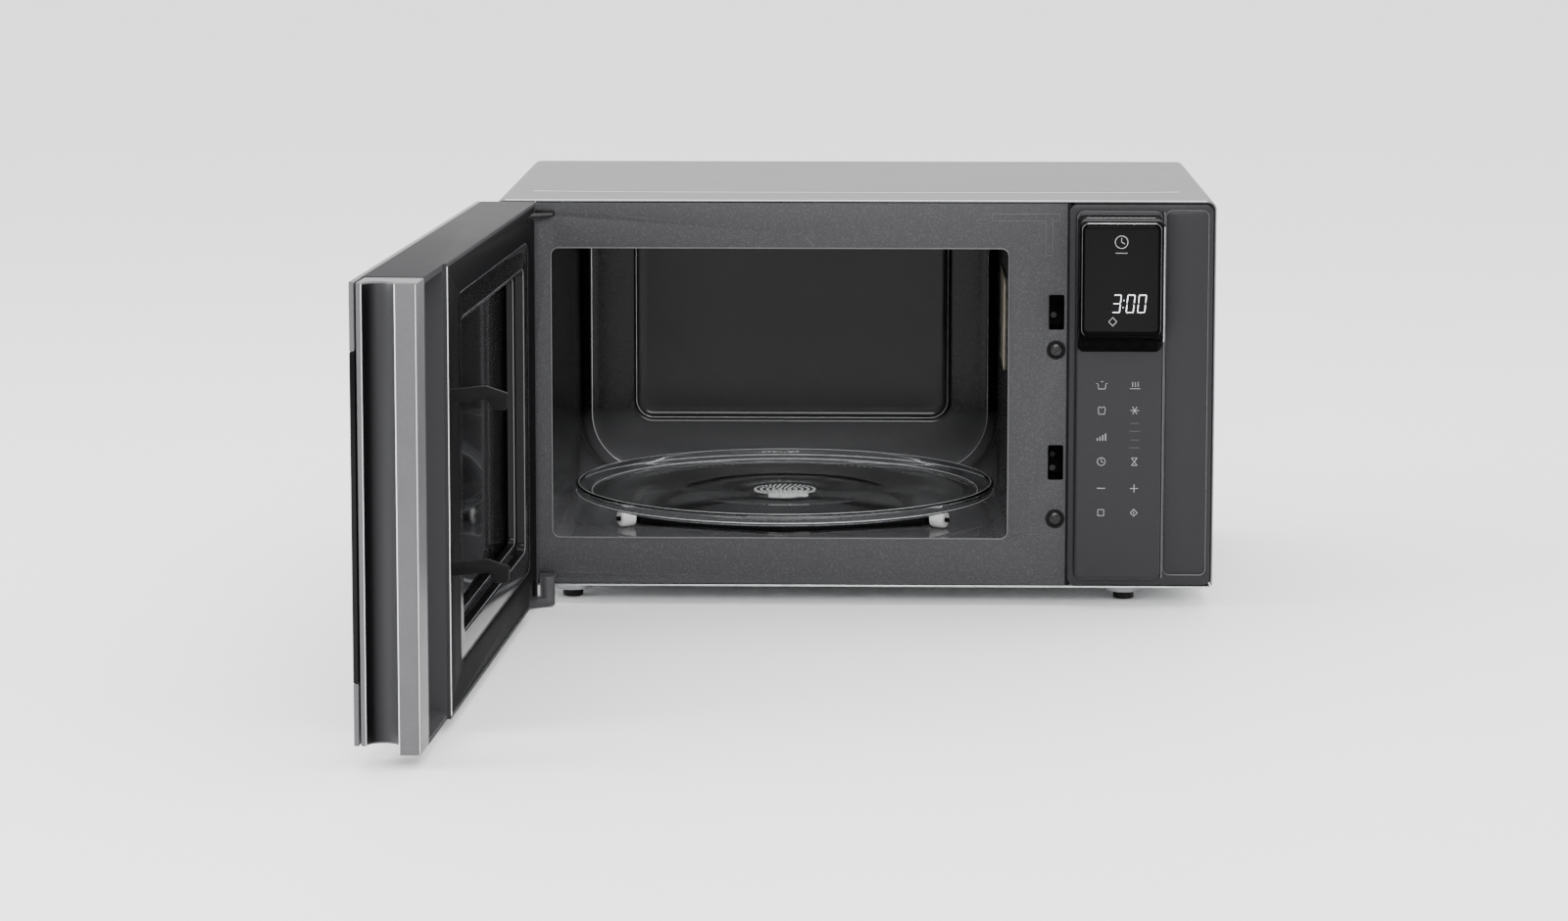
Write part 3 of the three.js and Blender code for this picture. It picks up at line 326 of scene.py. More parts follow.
# A colour given as a word is one of the user's own. Grain and streaks are scale and depth in mm.
# A fade is an axis, where it starts and ends along it, and the colour that it fades to.
PLAIN_FINISHES = {
    "cover_paint": dict(
        colour="cover", roughness=0.45, metallic=0.3, specular=0.1, fleck=(0.35, 0.35, 0.36), flecks=0.12,
        fleck_scale=2600.0, worn=(0.5, 0.5, 0.5), wear=0.4, dust=0.01, smudge=0.03, grain=(1500.0, 0.012),
        streaks=(260.0, 0.01)),
    "silver_paint": dict(
        colour="silver", roughness=0.38, metallic=0.2, specular=0.25, fleck=(0.25, 0.25, 0.26), flecks=0.1,
        fleck_scale=2600.0, worn=(0.16, 0.16, 0.165), wear=0.2, dust=0.0, smudge=0.01,
        grain=(1400.0, 0.006)),
    # Painted shade: a darker copy of the handle silver that fades to near black along X, for the finger
    # hollow.
    "silver_painted_shade": dict(
        colour=(0.055, 0.055, 0.058), roughness=0.36, metallic=0.2, specular=0.1, worn=(0.2, 0.2, 0.2),
        dust=0.0, smudge=0.03, grain=(1400.0, 0.006),
        fades=(("X", -0.2345, -0.2455, (0.003, 0.003, 0.0035)),)),
    # Painted highlight: a pale copy of the cover paint for the bottom of the crease.
    "painted_crease_highlight": dict(
        colour=(0.36, 0.36, 0.37), roughness=0.3, metallic=0.3, worn=(0.6, 0.6, 0.6), dust=0.01, smudge=0.02,
        grain=(1500.0, 0.006)),
    # Painted highlight for the cover's front lip, the door frame's inner edge and the handle post's edges.
    "pale_painted_highlight": dict(
        colour=(0.8, 0.8, 0.81), roughness=0.28, metallic=0.2, worn=(0.9, 0.9, 0.9), wear=0.4, dust=0.02,
        grain=(1500.0, 0.01)),
    # Faint painted highlight for the key panel's ridge, the strip's outline and the display's front edge.
    "faint_painted_highlight": dict(
        colour=(0.075, 0.075, 0.08), roughness=0.25, metallic=0.25, worn=(0.2, 0.2, 0.2), wear=0.5,
        grain=(1500.0, 0.01)),
    # Painted highlight for the edges round the door window's surround.
    "gloss_painted_highlight": dict(
        colour=(0.2, 0.2, 0.21), roughness=0.2, metallic=0.3, dust=0.003, grain=(900.0, 0.005)),
    # Painted highlight for the cavity's pressed edges and the display's top edge and right side.
    "painted_highlight": dict(colour=(0.5, 0.5, 0.52), roughness=0.2, metallic=0.6, grain=(900.0, 0.005)),
    "zinc_plate": dict(
        colour=(0.55, 0.56, 0.57), roughness=0.34, metallic=0.95, fleck=(0.75, 0.76, 0.78), flecks=0.35,
        fleck_scale=210.0, worn=(0.85, 0.85, 0.85), dust=0.06, grain=(700.0, 0.02), streaks=(500.0, 0.02)),
    "dark_zinc": dict(
        colour=(0.009, 0.009, 0.01), roughness=0.3, metallic=0.5, worn=(0.16, 0.16, 0.16), wear=0.7,
        grain=(900.0, 0.02)),
    "fin_aluminium": dict(
        colour=(0.72, 0.73, 0.74), roughness=0.3, metallic=1.0, worn=(0.9, 0.9, 0.9), streaks=(900.0, 0.03)),
    "wound_copper": dict(
        colour=(0.28, 0.11, 0.05), roughness=0.35, metallic=0.6, fleck=(0.05, 0.04, 0.03),
        fleck_scale=400.0, streaks=(900.0, 0.2)),
    "front_enamel": dict(
        colour="enamel", roughness=0.42, specular=0.25, fleck=(0.09, 0.09, 0.095), flecks=0.3,
        fleck_scale=1700.0, worn=(0.12, 0.12, 0.125), wear=0.5, dust=0.01, smudge=0.03, grain=(1100.0, 0.04)),
    # Painted highlight: a lighter copy of the front enamel for the rolled edge of the opening.
    "rim_painted_highlight": dict(
        colour=(0.1, 0.1, 0.104), roughness=0.28, metallic=0.3, worn=(0.2, 0.2, 0.2), wear=0.6, dust=0.01,
        grain=(900.0, 0.01)),
    "mark_enamel": dict(
        colour=(0.05, 0.05, 0.053), roughness=0.35, specular=0.25, worn=(0.1, 0.1, 0.1), dust=0.01,
        grain=(1100.0, 0.03)),
    # Painted light: the enamel fades much lighter towards the floor and on the pressed back wall.
    "cavity_enamel": dict(
        colour="cavity", roughness=0.17, specular=0.14, fleck=(0.03, 0.03, 0.032), flecks=0.12,
        fleck_scale=1600.0, dust=0.01, smudge=0.05, grain=(420.0, 0.01),
        fades=(("Z", 0.09, 0.038, (0.11, 0.11, 0.115)), ("Y", 0.3885, 0.3905, (0.016, 0.016, 0.017)))),
    "door_enamel": dict(
        colour=(0.0045, 0.0045, 0.005), roughness=0.55, specular=0.02, fleck=(0.014, 0.014, 0.015),
        flecks=0.25, fleck_scale=1700.0, dust=0.0, grain=(1100.0, 0.04)),
    "panel_plastic": dict(
        colour="panel", roughness=0.36, specular=0.25, worn=(0.06, 0.06, 0.065), wear=0.5, dust=0.01,
        grain=(1900.0, 0.014)),
    "frame_plastic": dict(
        colour="door_frame", roughness=0.58, specular=0.06, worn=(0.12, 0.12, 0.125), wear=0.4, dust=0.003,
        smudge=0.03, grain=(1600.0, 0.015)),
    "black_plastic": dict(
        colour=(0.0035, 0.0035, 0.004), roughness=0.48, specular=0.07, worn=(0.02, 0.02, 0.02), dust=0.003,
        grain=(1500.0, 0.02)),
    "grey_plastic": dict(
        colour=(0.03, 0.03, 0.032), roughness=0.5, specular=0.35, worn=(0.12, 0.12, 0.12), dust=0.01,
        grain=(1400.0, 0.02)),
    "white_plastic": dict(
        colour=(0.92, 0.92, 0.91), roughness=0.34, worn=(0.7, 0.7, 0.68), grain=(1200.0, 0.015)),
    "rubber": dict(
        colour=(0.007, 0.007, 0.007), roughness=0.7, specular=0.3, worn=(0.03, 0.03, 0.03), wear=0.6,
        dust=0.1, smudge=0.1, grain=(800.0, 0.06)),
    "gloss_black": dict(
        colour=(0.003, 0.003, 0.0033), roughness=0.13, specular=0.12, dust=0.0, smudge=0.05,
        grain=(120.0, 0.003)),
    "display_black": dict(
        colour=(0.001, 0.001, 0.0012), roughness=0.22, specular=0.02, dust=0.0, smudge=0.05,
        grain=(260.0, 0.004)),
    "display_window": dict(
        colour=(0.0028, 0.0028, 0.0032), roughness=0.16, specular=0.07, dust=0.001, grain=(260.0, 0.004)),
    "window_glass": dict(
        colour=(0.003, 0.003, 0.0035), roughness=0.07, specular=0.35, dust=0.0, smudge=0.04,
        grain=(90.0, 0.003)),
    # Painted glints: pale opaque lines and dots on the glass plate's rim and hub.
    "glass_painted_glints": dict(
        colour=(0.62, 0.64, 0.64), roughness=0.25, fleck=(0.8, 0.82, 0.82), fleck_scale=900.0, dust=0.01,
        grain=(900.0, 0.05)),
    "black_screen": dict(
        colour=(0.008, 0.008, 0.0085), roughness=0.45, specular=0.3, grain=(1100.0, 0.02)),
    "lit_digits": dict(colour=(0.75, 0.76, 0.78), roughness=0.4, grain=(1800.0, 0.004)),
    "printed_ink": dict(
        colour=(0.3, 0.3, 0.31), roughness=0.5, fleck=(0.4, 0.4, 0.4), flecks=0.3, grain=(1800.0, 0.008)),
    "faint_ink": dict(
        colour=(0.07, 0.07, 0.073), roughness=0.5, fleck=(0.1, 0.1, 0.1), flecks=0.3, grain=(1800.0, 0.008)),
    "soft_ink": dict(
        colour=(0.4, 0.4, 0.41), roughness=0.45, fleck=(0.5, 0.5, 0.5), flecks=0.3, grain=(1800.0, 0.005)),
    "board_green": dict(
        colour=(0.02, 0.13, 0.055), roughness=0.35, fleck=(0.5, 0.4, 0.12), flecks=0.8, fleck_scale=260.0,
        streaks=(160.0, 0.05)),
    "mica_sheet": dict(
        colour=(0.42, 0.38, 0.3), roughness=0.45, fleck=(0.65, 0.6, 0.5), flecks=0.7, fleck_scale=500.0,
        grain=(300.0, 0.05)),
}
BUMP_STRENGTH = 0.6
FINISHES = {}


def rgba(colour):
    return (*colour, 1.0)


def new_material(name):
    material = bpy.data.materials.new(name)
    material.use_nodes = True
    return material, material.node_tree, material.node_tree.nodes["Principled BSDF"].inputs


def plain_finish(name, colour, roughness, metallic=0.0, specular=0.5, fleck=None, fleck_scale=1200.0,
                 flecks=0.5, worn=None, wear=0.3, dust=0.08, smudge=0.06, grain=None, streaks=None, fades=()):
    """A worn, dusty, textured opaque finish; its fades paint light and shade across it."""
    material, tree, shader = new_material(name)
    shader["Metallic"].default_value = metallic
    shader["Specular IOR Level"].default_value = specular
    if isinstance(colour, str):
        colour = getattr(bpy.context.scene.oven_finishes, colour)
    current = rgba(colour)
    if fleck:
        current = effect(tree, "Speckle", {"Colour": current, "Fleck": rgba(fleck), "Scale": fleck_scale,
                                           "Amount": flecks})["Colour"]
    if worn:
        current = effect(tree, "Edge wear", {"Colour": current, "Worn": rgba(worn), "Amount": wear})["Colour"]
    dusty = effect(tree, "Dust", {"Colour": current, "Roughness": roughness, "Dust": dust, "Smudge": smudge})
    tree.links.new(dusty["Roughness"], shader["Roughness"])
    current = dusty["Colour"]
    # Fades paint light and shade: a colour that grows along one axis.
    for axis, start, end, tone in fades:
        along = add_node(tree, "SeparateXYZ", {0: place(tree)}).outputs[axis]
        current = mix_colour(tree, ramp(tree, along, start, end), current, rgba(tone))
    tree.links.new(current, shader["Base Color"])
    normal = None
    for texture, setting in (("Grain", grain), ("Streaks", streaks)):
        if setting:
            height = effect(tree, texture, {"Scale": setting[0]})["Height"]
            inputs = {"Height": height, "Strength": BUMP_STRENGTH, "Distance": setting[1] * MM}
            if normal is not None:
                inputs["Normal"] = normal
            normal = add_node(tree, "Bump", inputs).outputs[0]
    tree.links.new(normal, shader["Normal"])
    return material


def punch_holes(material):
    """A fine grid of dark holes, as colour."""
    tree = material.node_tree
    shader = tree.nodes["Principled BSDF"].inputs
    sheet = shader["Base Color"].links[0].from_socket
    holes = add_node(tree, "TexVoronoi", {"Vector": place(tree), "Scale": 620.0, "Randomness": 0.0})
    gap = ramp(tree, holes.outputs["Distance"], 0.42, 0.34)
    tree.links.new(mix_colour(tree, gap, sheet, (0.001, 0.001, 0.001, 1)), shader["Base Color"])


def light_up(material):
    """White light behind the digits."""
    tree = material.node_tree
    shader = tree.nodes["Principled BSDF"].inputs
    patches = math_node(tree, "MULTIPLY", effect(tree, "Grain", {"Scale": 500.0})["Mask"], 0.1)
    light = mix_colour(tree, patches, rgba(bpy.context.scene.oven_finishes.digits), (0.8, 0.86, 0.95, 1))
    tree.links.new(light, shader["Emission Color"])
    shader["Emission Strength"].default_value = 1.6


def clear_glass():
    """Pressed clear glass, stippled by fine dimples, which lets light through to what is under it."""
    material, tree, shader = new_material("clear_glass")
    shader["Transmission Weight"].default_value = 1.0
    shader["IOR"].default_value = 1.47
    smear = effect(tree, "Dust", {"Colour": (0.93, 0.95, 0.95, 1), "Roughness": 0.01, "Dust": 0.02,
                                  "Smudge": 0.03})
    tree.links.new(smear["Colour"], shader["Base Color"])
    tree.links.new(smear["Roughness"], shader["Roughness"])
    dimples = add_node(tree, "TexVoronoi", {"Vector": place(tree), "Scale": 520.0}).outputs["Distance"]
    height = math_node(tree, "MULTIPLY_ADD", noise(tree, place(tree), 60.0, detail=2.0), 0.6, dimples)
    bump = add_node(tree, "Bump", {"Height": height, "Strength": 0.2, "Distance": 0.1 * MM})
    tree.links.new(bump.outputs[0], shader["Normal"])
    shadow = add_node(tree, "LightPath").outputs["Is Shadow Ray"]
    tree.links.new(math_node(tree, "MULTIPLY_ADD", shadow, -0.9, 1.0), shader["Alpha"])
    return material


FINISHING_TOUCHES = {"black_screen": punch_holes, "lit_digits": light_up}


def finish(name):
    """The finish of this name, made at its first use."""
    if name not in FINISHES:
        made = clear_glass() if name == "clear_glass" else plain_finish(name, **PLAIN_FINISHES[name])
        if name in FINISHING_TOUCHES:
            FINISHING_TOUCHES[name](made)
        FINISHES[name] = made
    return FINISHES[name]


# ---------------------------------------------------------------- shapes

AXES = {
    "X": Matrix(((0, 0, 1, 0), (1, 0, 0, 0), (0, 1, 0, 0), (0, 0, 0, 1))),
    "Y": Matrix(((1, 0, 0, 0), (0, 0, -1, 0), (0, 1, 0, 0), (0, 0, 0, 1))),
    "Z": Matrix.Identity(4),
}
SMOOTH_ANGLE = math.radians(32)
EDGE_ANGLE = math.radians(38)
FLAT_ANGLE = math.radians(0.6)
CORNER_STEPS = 8
WELD = 1e-3
NODE_WELD = 2e-3 * MM
CUT_EDGE = 0.05
SCREW_SLANT = 0.4


def arc(x, y, r, start, end, steps=CORNER_STEPS):
    """Points on an arc, angles in degrees."""
    turn = [math.radians(start + (end - start) * i / steps) for i in range(steps + 1)]
    return [(x + r * math.cos(a), y + r * math.sin(a)) for a in turn]


def rounded(x0, x1, z0, z1, low, high=None, steps=CORNER_STEPS):
    """A rectangle with rounded corners, from the lower right corner anticlockwise."""
    high = low if high is None else high
    return (
        arc(x1 - low, z0 + low, low, -90, 0, steps) + arc(x1 - high, z1 - high, high, 0, 90, steps)
        + arc(x0 + high, z1 - high, high, 90, 180, steps) + arc(x0 + low, z0 + low, low, 180, 270, steps)
    )


def soft_box(x0, x1, z0, z1, corner, steps=CORNER_STEPS):
    """A rounded rectangle without repeated points."""
    return thinned(rounded(x0, x1, z0, z1, corner, steps=steps))


def upright(loop, y):
    """A flat loop stood up at a depth."""
    return [(x, y, z) for x, z in loop]


def turned(along, level, where=IN_CASE):
    """The place of a flat shape that faces along an axis at a level."""
    middle = Vector([level if axis == along else 0 for axis in "XYZ"])
    return where @ Matrix.Translation(middle) @ AXES[along]


def middle_of(node):
    low, high = case_box(node)
    return (low + high) / 2


def shaded(mesh):
    mesh.shade_smooth()
    mesh.set_sharp_from_angle(angle=SMOOTH_ANGLE)
    return mesh


def mesh_object(name, mesh):
    piece = bpy.data.objects.new(name, mesh)
    bpy.context.scene.collection.objects.link(piece)
    return piece


def mesh_from(source):
    """A new mesh of an object's shape, with its modifiers or its curve's thickness."""
    bpy.context.view_layer.update()
    return bpy.data.meshes.new_from_object(source.evaluated_get(bpy.context.evaluated_depsgraph_get()))


def apply_modifiers(piece):
    mesh = mesh_from(piece)
    piece.modifiers.clear()
    piece.data = shaded(mesh)


def weld(mesh):
    work = bmesh.new()
    work.from_mesh(mesh)
    bmesh.ops.remove_doubles(work, verts=work.verts, dist=WELD)
    bmesh.ops.dissolve_degenerate(work, edges=work.edges, dist=WELD)
    bmesh.ops.recalc_face_normals(work, faces=work.faces)
    work.to_mesh(mesh)
    work.free()


def prism(name, loops, along, low, high, edge, where=IN_CASE):
    """A flat piece with rounded edges: its first loop is the outline, and the others are holes."""
    curve = bpy.data.curves.new(name, "CURVE")
    curve.dimensions = "2D"
    curve.fill_mode = "BOTH"
    edge = min(edge, (high - low) / 2 * 0.98)
    curve.extrude = (high - low) / 2 - edge
    curve.bevel_depth = edge
    curve.bevel_resolution = 2
    curve.offset = -edge
    for loop in loops:
        spline = curve.splines.new("POLY")
        spline.points.add(len(loop) - 1)
        for point, (u, v) in zip(spline.points, loop):
            point.co = (u, v, 0, 1)
        spline.use_cyclic_u = True
    source = mesh_object(name + ".curve", curve)
    mesh = mesh_from(source)
    bpy.data.objects.remove(source)
    bpy.data.curves.remove(curve)
    weld(mesh)
    mesh.transform(turned(along, (low + high) / 2, where))
    mesh.name = name
    return mesh_object(name, shaded(mesh))


def loft(name, rings, where=IN_CASE, closed=False, cap_start=True):
    """A skin over rings of points with the same count. A closed one joins its last ring to its first."""
    work = bmesh.new()
    rows = [[work.verts.new(point) for point in ring] for ring in rings]
    pairs = list(zip(rows, rows[1:]))
    if closed:
        pairs.append((rows[-1], rows[0]))
    for first, second in pairs:
        for i in range(len(first)):
            j = (i + 1) % len(first)
            work.faces.new((first[i], first[j], second[j], second[i]))
    if not closed and cap_start:
        work.faces.new(rows[0])
    if not closed:
        work.faces.new(rows[-1])
    bmesh.ops.recalc_face_normals(work, faces=work.faces)
    mesh = bpy.data.meshes.new(name)
    work.to_mesh(mesh)
    work.free()
    mesh.transform(where)
    return mesh_object(name, shaded(mesh))


def lathe(name, profile, at, along="Z", steps=64, where=IN_CASE):
    """A profile of radius and height turned about an axis. It starts and ends on the axis, or is closed."""
    on_axis = profile[0][0] == 0
    turn = [2 * math.pi * i / steps for i in range(steps)]
    rings = [[(r * math.cos(a), r * math.sin(a), h) for a in turn] for r, h in profile if r > 0]
    spun = loft(name, rings, Matrix.Identity(4), closed=not on_axis)
    spun.data.transform(where @ Matrix.Translation(at) @ AXES[along])
    return spun


def refine(node, edge, body, slot, name, segments=2):
    """Gives a piece with the shape of a CAD node and rounded edges, which stands for the node."""
    mesh = frame["nodes"][node].data.copy()
    work = bmesh.new()
    work.from_mesh(mesh)
    bmesh.ops.remove_doubles(work, verts=work.verts, dist=NODE_WELD)
    bmesh.ops.dissolve_limit(work, angle_limit=FLAT_ANGLE, verts=work.verts, edges=work.edges)
    work.to_mesh(mesh)
    work.free()
    mesh.materials.clear()
    piece = mesh_object(node + "_fine", mesh)
    rounding = piece.modifiers.new("Rounded edges", "BEVEL")
    rounding.width = edge * MM
    rounding.segments = segments
    rounding.limit_method = "ANGLE"
    rounding.angle_limit = EDGE_ANGLE
    apply_modifiers(piece)
    give(piece, body, slot, name, node)


def cut_away(piece, tools):
    """Takes the tools' shapes out of the piece, and removes the tools."""
    for tool in tools:
        cutter = piece.modifiers.new("Cut", "BOOLEAN")
        cutter.operation = "DIFFERENCE"
        cutter.solver = "EXACT"
        cutter.object = tool
    apply_modifiers(piece)
    for tool in tools:
        bpy.data.objects.remove(tool)
    return piece


def joined(name, pieces):
    """Several pieces of one finish as one piece."""
    work = bmesh.new()
    for piece in pieces:
        work.from_mesh(piece.data)
    mesh = bpy.data.meshes.new(name)
    work.to_mesh(mesh)
    work.free()
    for piece in pieces:
        bpy.data.objects.remove(piece)
    return mesh_object(name, shaded(mesh))


def give(piece, body, slot, name, *nodes):
    """Finishes a piece: its material and body, and the CAD nodes that it stands for. The slot is not used."""
    piece.data.materials.clear()
    piece.data.materials.append(finish(name))
    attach(piece, body)
    if nodes:
        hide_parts(*nodes)


def dress(node, name):
    """A CAD node keeps its shape and gets its finish."""
    data = frame["nodes"][node].data
    data.materials.clear()
    data.materials.append(finish(name))


def swept(name, loop, radius, along, level, where=IN_CASE, flat=1.0, sides=8):
    """A closed round bead that follows a flat loop."""
    count = len(loop)
    turn = [2 * math.pi * k / sides for k in range(sides)]
    rings = []
    for i, (u, v) in enumerate(loop):
        way = (Vector(loop[(i + 1) % count]) - Vector(loop[i - 1])).normalized()
        reach = [radius * math.cos(a) for a in turn]
        rings.append([(u + way.y * out, v - way.x * out, radius * flat * math.sin(a))
                      for out, a in zip(reach, turn)])
    return loft(name, rings, turned(along, level, where), closed=True)


def thinned(loop, least=0.05):
    """The loop without its repeated points."""
    kept = [loop[0]]
    for point in loop[1:]:
        if (Vector(point) - Vector(kept[-1])).length > least:
            kept.append(point)
    return kept if (Vector(kept[0]) - Vector(kept[-1])).length > least else kept[:-1]


# ---------------------------------------------------------------- case


def cover_sheet():
    """The folded cover: a skin over its cross-section, with a rolled front lip and a long crease on top."""
    t, r = COVER_SHEET, 6.0
    low, depth = COVER[0].z, COVER[1].y
    width, top = CASE_WIDTH, CASE_TOP
    side_steps, top_steps = 14, 72
    rise = top - r - low

    def corner(x, start):
        """Places round a top corner, each with the way that the sheet faces."""
        ways = [(math.cos(a), math.sin(a)) for a in (math.radians(start + 90 * i / 8) for i in range(1, 8))]
        return [((x + r * nx, top - r + r * nz), (nx, nz)) for nx, nz in ways]

    path = [((width, low + rise * i / side_steps), (1, 0)) for i in range(side_steps + 1)]
    path += corner(width - r, 0)
    path += [((width - r - (width - 2 * r) * i / top_steps, top), (0, 1)) for i in range(top_steps + 1)]
    path += corner(r, 90)
    path += [((0, top - r - rise * i / side_steps), (-1, 0)) for i in range(side_steps + 1)]
    lip = 1.7
    rows = [0, 0.15, 0.4, 0.8, 1.2, lip, 4, 12, 24, 36]
    rows += [44 + 0.8 * i for i in range(34)] + [76, 100, 140, 190, 240, 290, depth]
    crease = bpy.context.scene.oven_sizes.crease

    def sunk(x, y):
        """How far the sheet is pressed in at a place on top."""
        middle = width / 2
        across = (x - middle) / (width / 2 - 17)
        if abs(across) >= 1:
            return 0.0
        line = 59 + 7.5 * across ** 4
        fade = min(1.0, (1 - abs(across)) * 12)
        return crease * fade * math.exp(-(((y - line) / 2.9) ** 4))

    rings = []
    for y in rows:
        rolled = 0.85 * (1 - math.sqrt(max(0.0, 1 - ((lip - y) / lip) ** 2))) if y < lip else 0.0
        ring = []
        for places, sheet in ((path, rolled), (path[::-1], t)):
            for (x, z), (nx, nz) in places:
                press = sunk(x, y) if nz == 1 else 0.0
                ring.append((x - nx * sheet, y, z - nz * sheet - press))
        rings.append(ring)
    cover = loft("cover_sheet", rings)
    vents = []
    for i in range(9):
        y = 205 + i * 9
        for x0, x1, z in ((width - 3, width + 2, 60), (-2, 3, 200)):
            slot = rounded(y, y + 3.5, z, z + 40, 1.7, steps=5)
            vents.append(prism("vent", [slot], "X", x0, x1, CUT_EDGE))
    return cut_away(cover, [joined("vents", vents)])


def crease_highlight_strip():
    """A painted highlight: a pale strip laid in the flat bottom of the crease."""
    half = CASE_WIDTH / 2 - 19
    near = [(CASE_WIDTH / 2 + half * (i / 30 - 1), 57.2 + 7.5 * (i / 30 - 1) ** 4) for i in range(61)]
    far = [(x, y + 3.4) for x, y in reversed(near)]
    return prism("crease_highlight_strip", [near + far], "Z", CASE_TOP - 0.75, CASE_TOP - 0.14, 0.1)


def front_lip_highlight():
    """A painted highlight: a pale bead along the rolled front edge of the cover."""
    section = rounded(0.2, 1.3, CASE_TOP - 1.15, CASE_TOP - 0.1, 0.5, steps=5)
    return prism("front_lip_highlight", [section], "X", 6.5, CASE_WIDTH - 6.5, 0.2)


def outer_cover():
    """The folded cover, with painted highlights along its crease and its front lip."""
    give(cover_sheet(), "case", "satin_steel", "cover_paint", "outer_cover")
    give(crease_highlight_strip(), "case", "satin_steel", "painted_crease_highlight")
    give(front_lip_highlight(), "case", "satin_steel", "pale_painted_highlight")


def base_and_feet():
    """The base plate on four ribbed rubber feet."""
    refine("base_plate", 0.3, "case", "zinc_steel", "zinc_plate")
    for corner in ("front_left", "front_right", "rear_left", "rear_right"):
        low, high = case_box("foot_" + corner)
        middle = middle_of("foot_" + corner)
        r = (high.x - low.x) / 2
        profile = [(0, 0.3), (r - 2.6, 0.3), (r - 2.2, 0), (r - 1.2, 0), (r - 0.5, 0.4), (r - 0.15, 1.2),
                   (r, 4.6), (r - 0.3, 5.2), (r - 0.8, 5.4), (2.9, 5.4), (2.9, 10.6), (2.5, 11), (0, 11)]
        foot = lathe("rubber_foot_" + corner, profile, (middle.x, middle.y, 0), steps=48)
        give(foot, "case", "rubber", "rubber", "foot_" + corner)


def back_of_case():
    """The rear panel with its two screws, and the bushing where the lead would come in."""
    refine("rear_panel", 0.35, "case", "zinc_steel", "zinc_plate")
    profile = [(4, 0), (4.4, -0.2), (9.2, -0.2), (10, 0.6), (10, 2.6), (9.4, 3.2), (6.6, 3.2), (6.6, 7.4),
               (4, 7.4)]
    middle = middle_of("cord_inlet")
    middle.y = case_box("cord_inlet")[1].y
    bushing = lathe("inlet_bushing", profile, middle, along="Y", steps=40)
    give(bushing, "case", "rubber", "rubber", "cord_inlet")
    for node in ("rear_screw_1", "rear_screw_2"):
        middle = middle_of(node)
        middle.y = case_box(node)[1].y
        cross_head(node, middle, 4.0, "zinc_plate", turn=math.pi)


def cross_head(node, at, r, name, turn=0.0):
    """A round-headed screw with a cross recess. It faces the front when it isn't turned."""
    dome = [(0, 0), (r * 0.35, -0.05), (r * 0.7, -0.3), (r * 0.93, -0.75), (r, -1.3), (r, -1.7),
            (r * 0.4, -1.7), (r * 0.4, -7), (0, -7)]
    plain = Matrix.Identity(4)
    head = lathe(node + "_head", dome, (0, 0, 0), along="Y", steps=40, where=plain)
    slots = []
    for half_x, half_z in ((r * 0.62, r * 0.15), (r * 0.15, r * 0.62)):
        outline = [(-half_x, -half_z), (half_x, -half_z), (half_x, half_z), (-half_x, half_z)]
        slots.append(prism("slot", [outline], "Y", -0.5, 1.6, CUT_EDGE, where=plain))
    cut_away(head, slots)
    slant = Matrix.Rotation(SCREW_SLANT, 4, "Y")
    head.data.transform(IN_CASE @ Matrix.Translation(at) @ Matrix.Rotation(turn, 4, "Z") @ slant)
    give(head, "case", "zinc_steel", name, node)


def front_of_case():
    """The enamelled plate, a painted highlight along its rolled edge, its pressed mark and two dark screws.
    """
    x0, x1, z0, z1 = OPENING
    edge = [(1.6, 14.4), (378.6, 14.4), (378.6, 269.6), (6.6, 269.6), (3, 268), (1.6, 264.5)]
    holes = [
        soft_box(x0, x1, z0, z1, 5), soft_box(366.1, 376.2, 185.7, 208.9, 1.2),
        soft_box(366.1, 376.2, 85.3, 108.5, 1.2), soft_box(20.5, 39.4, 260.6, 264, 0.5, steps=3),
        soft_box(27, 40, 17.9, 22, 0.5, steps=3),
    ]
    screws = [(371, 172.2), (371, 59.1)]
    holes += [arc(x, z, 5.6, 0, 351, 39) for x, z in screws]
    plate = prism("enamel_plate", [edge] + holes, "Y", PLATE_FACE, PLATE_FACE + 1.2, 0.25)
    give(plate, "case", "plate_enamel", "front_enamel", "front_plate")
    # Painted highlight: a lighter bead along the rolled edge of the opening.
    turned_edge = soft_box(x0 + 0.2, x1 - 0.2, z0 + 0.2, z1 - 0.2, 5)
    rim = swept("opening_rim_highlight", turned_edge, 0.42, "Y", PLATE_FACE, flat=1.2)
    give(rim, "case", "plate_enamel", "rim_painted_highlight")
    outer = [(328.2, 257.5), (363.5, 257.5), (363.5, 234.7), (368.7, 234.7), (368.7, 257.5), (373.3, 257.5),
             (373.3, 262.8), (328.2, 262.8)]
    inner = [(328.9, 258.2), (364.2, 258.2), (364.2, 235.4), (368.0, 235.4), (368.0, 258.2), (372.6, 258.2),
             (372.6, 262.1), (328.9, 262.1)]
    mark = prism("pressed_mark", [outer, inner], "Y", PLATE_FACE - 0.225, PLATE_FACE + 0.3, 0.2)
    give(mark, "case", "plate_enamel", "mark_enamel")
    seat = [(4.7, 0), (5.2, -0.35), (5.9, -0.35), (6.3, 0), (6.3, 0.4), (4.7, 0.4)]
    for node, (x, z) in zip(("front_screw_1", "front_screw_2"), screws):
        cross_head(node, (x, 0.1, z), 4.4, "dark_zinc")
        ring = lathe(node + "_seat", seat, (x, PLATE_FACE - 0.05, z), along="Y", steps=48)
        give(ring, "case", "plate_enamel", "black_plastic")


# ---------------------------------------------------------------- cooking space


def cavity_ring(y, inset, low, high):
    """A section of the cooking space, with its lower and upper corners."""
    x0, x1, z0, z1 = OPENING[0], OPENING[1], 37.5, 240.5
    return upright(rounded(x0 + inset, x1 - inset, z0 + inset, z1 - inset, low, high, steps=14), y)


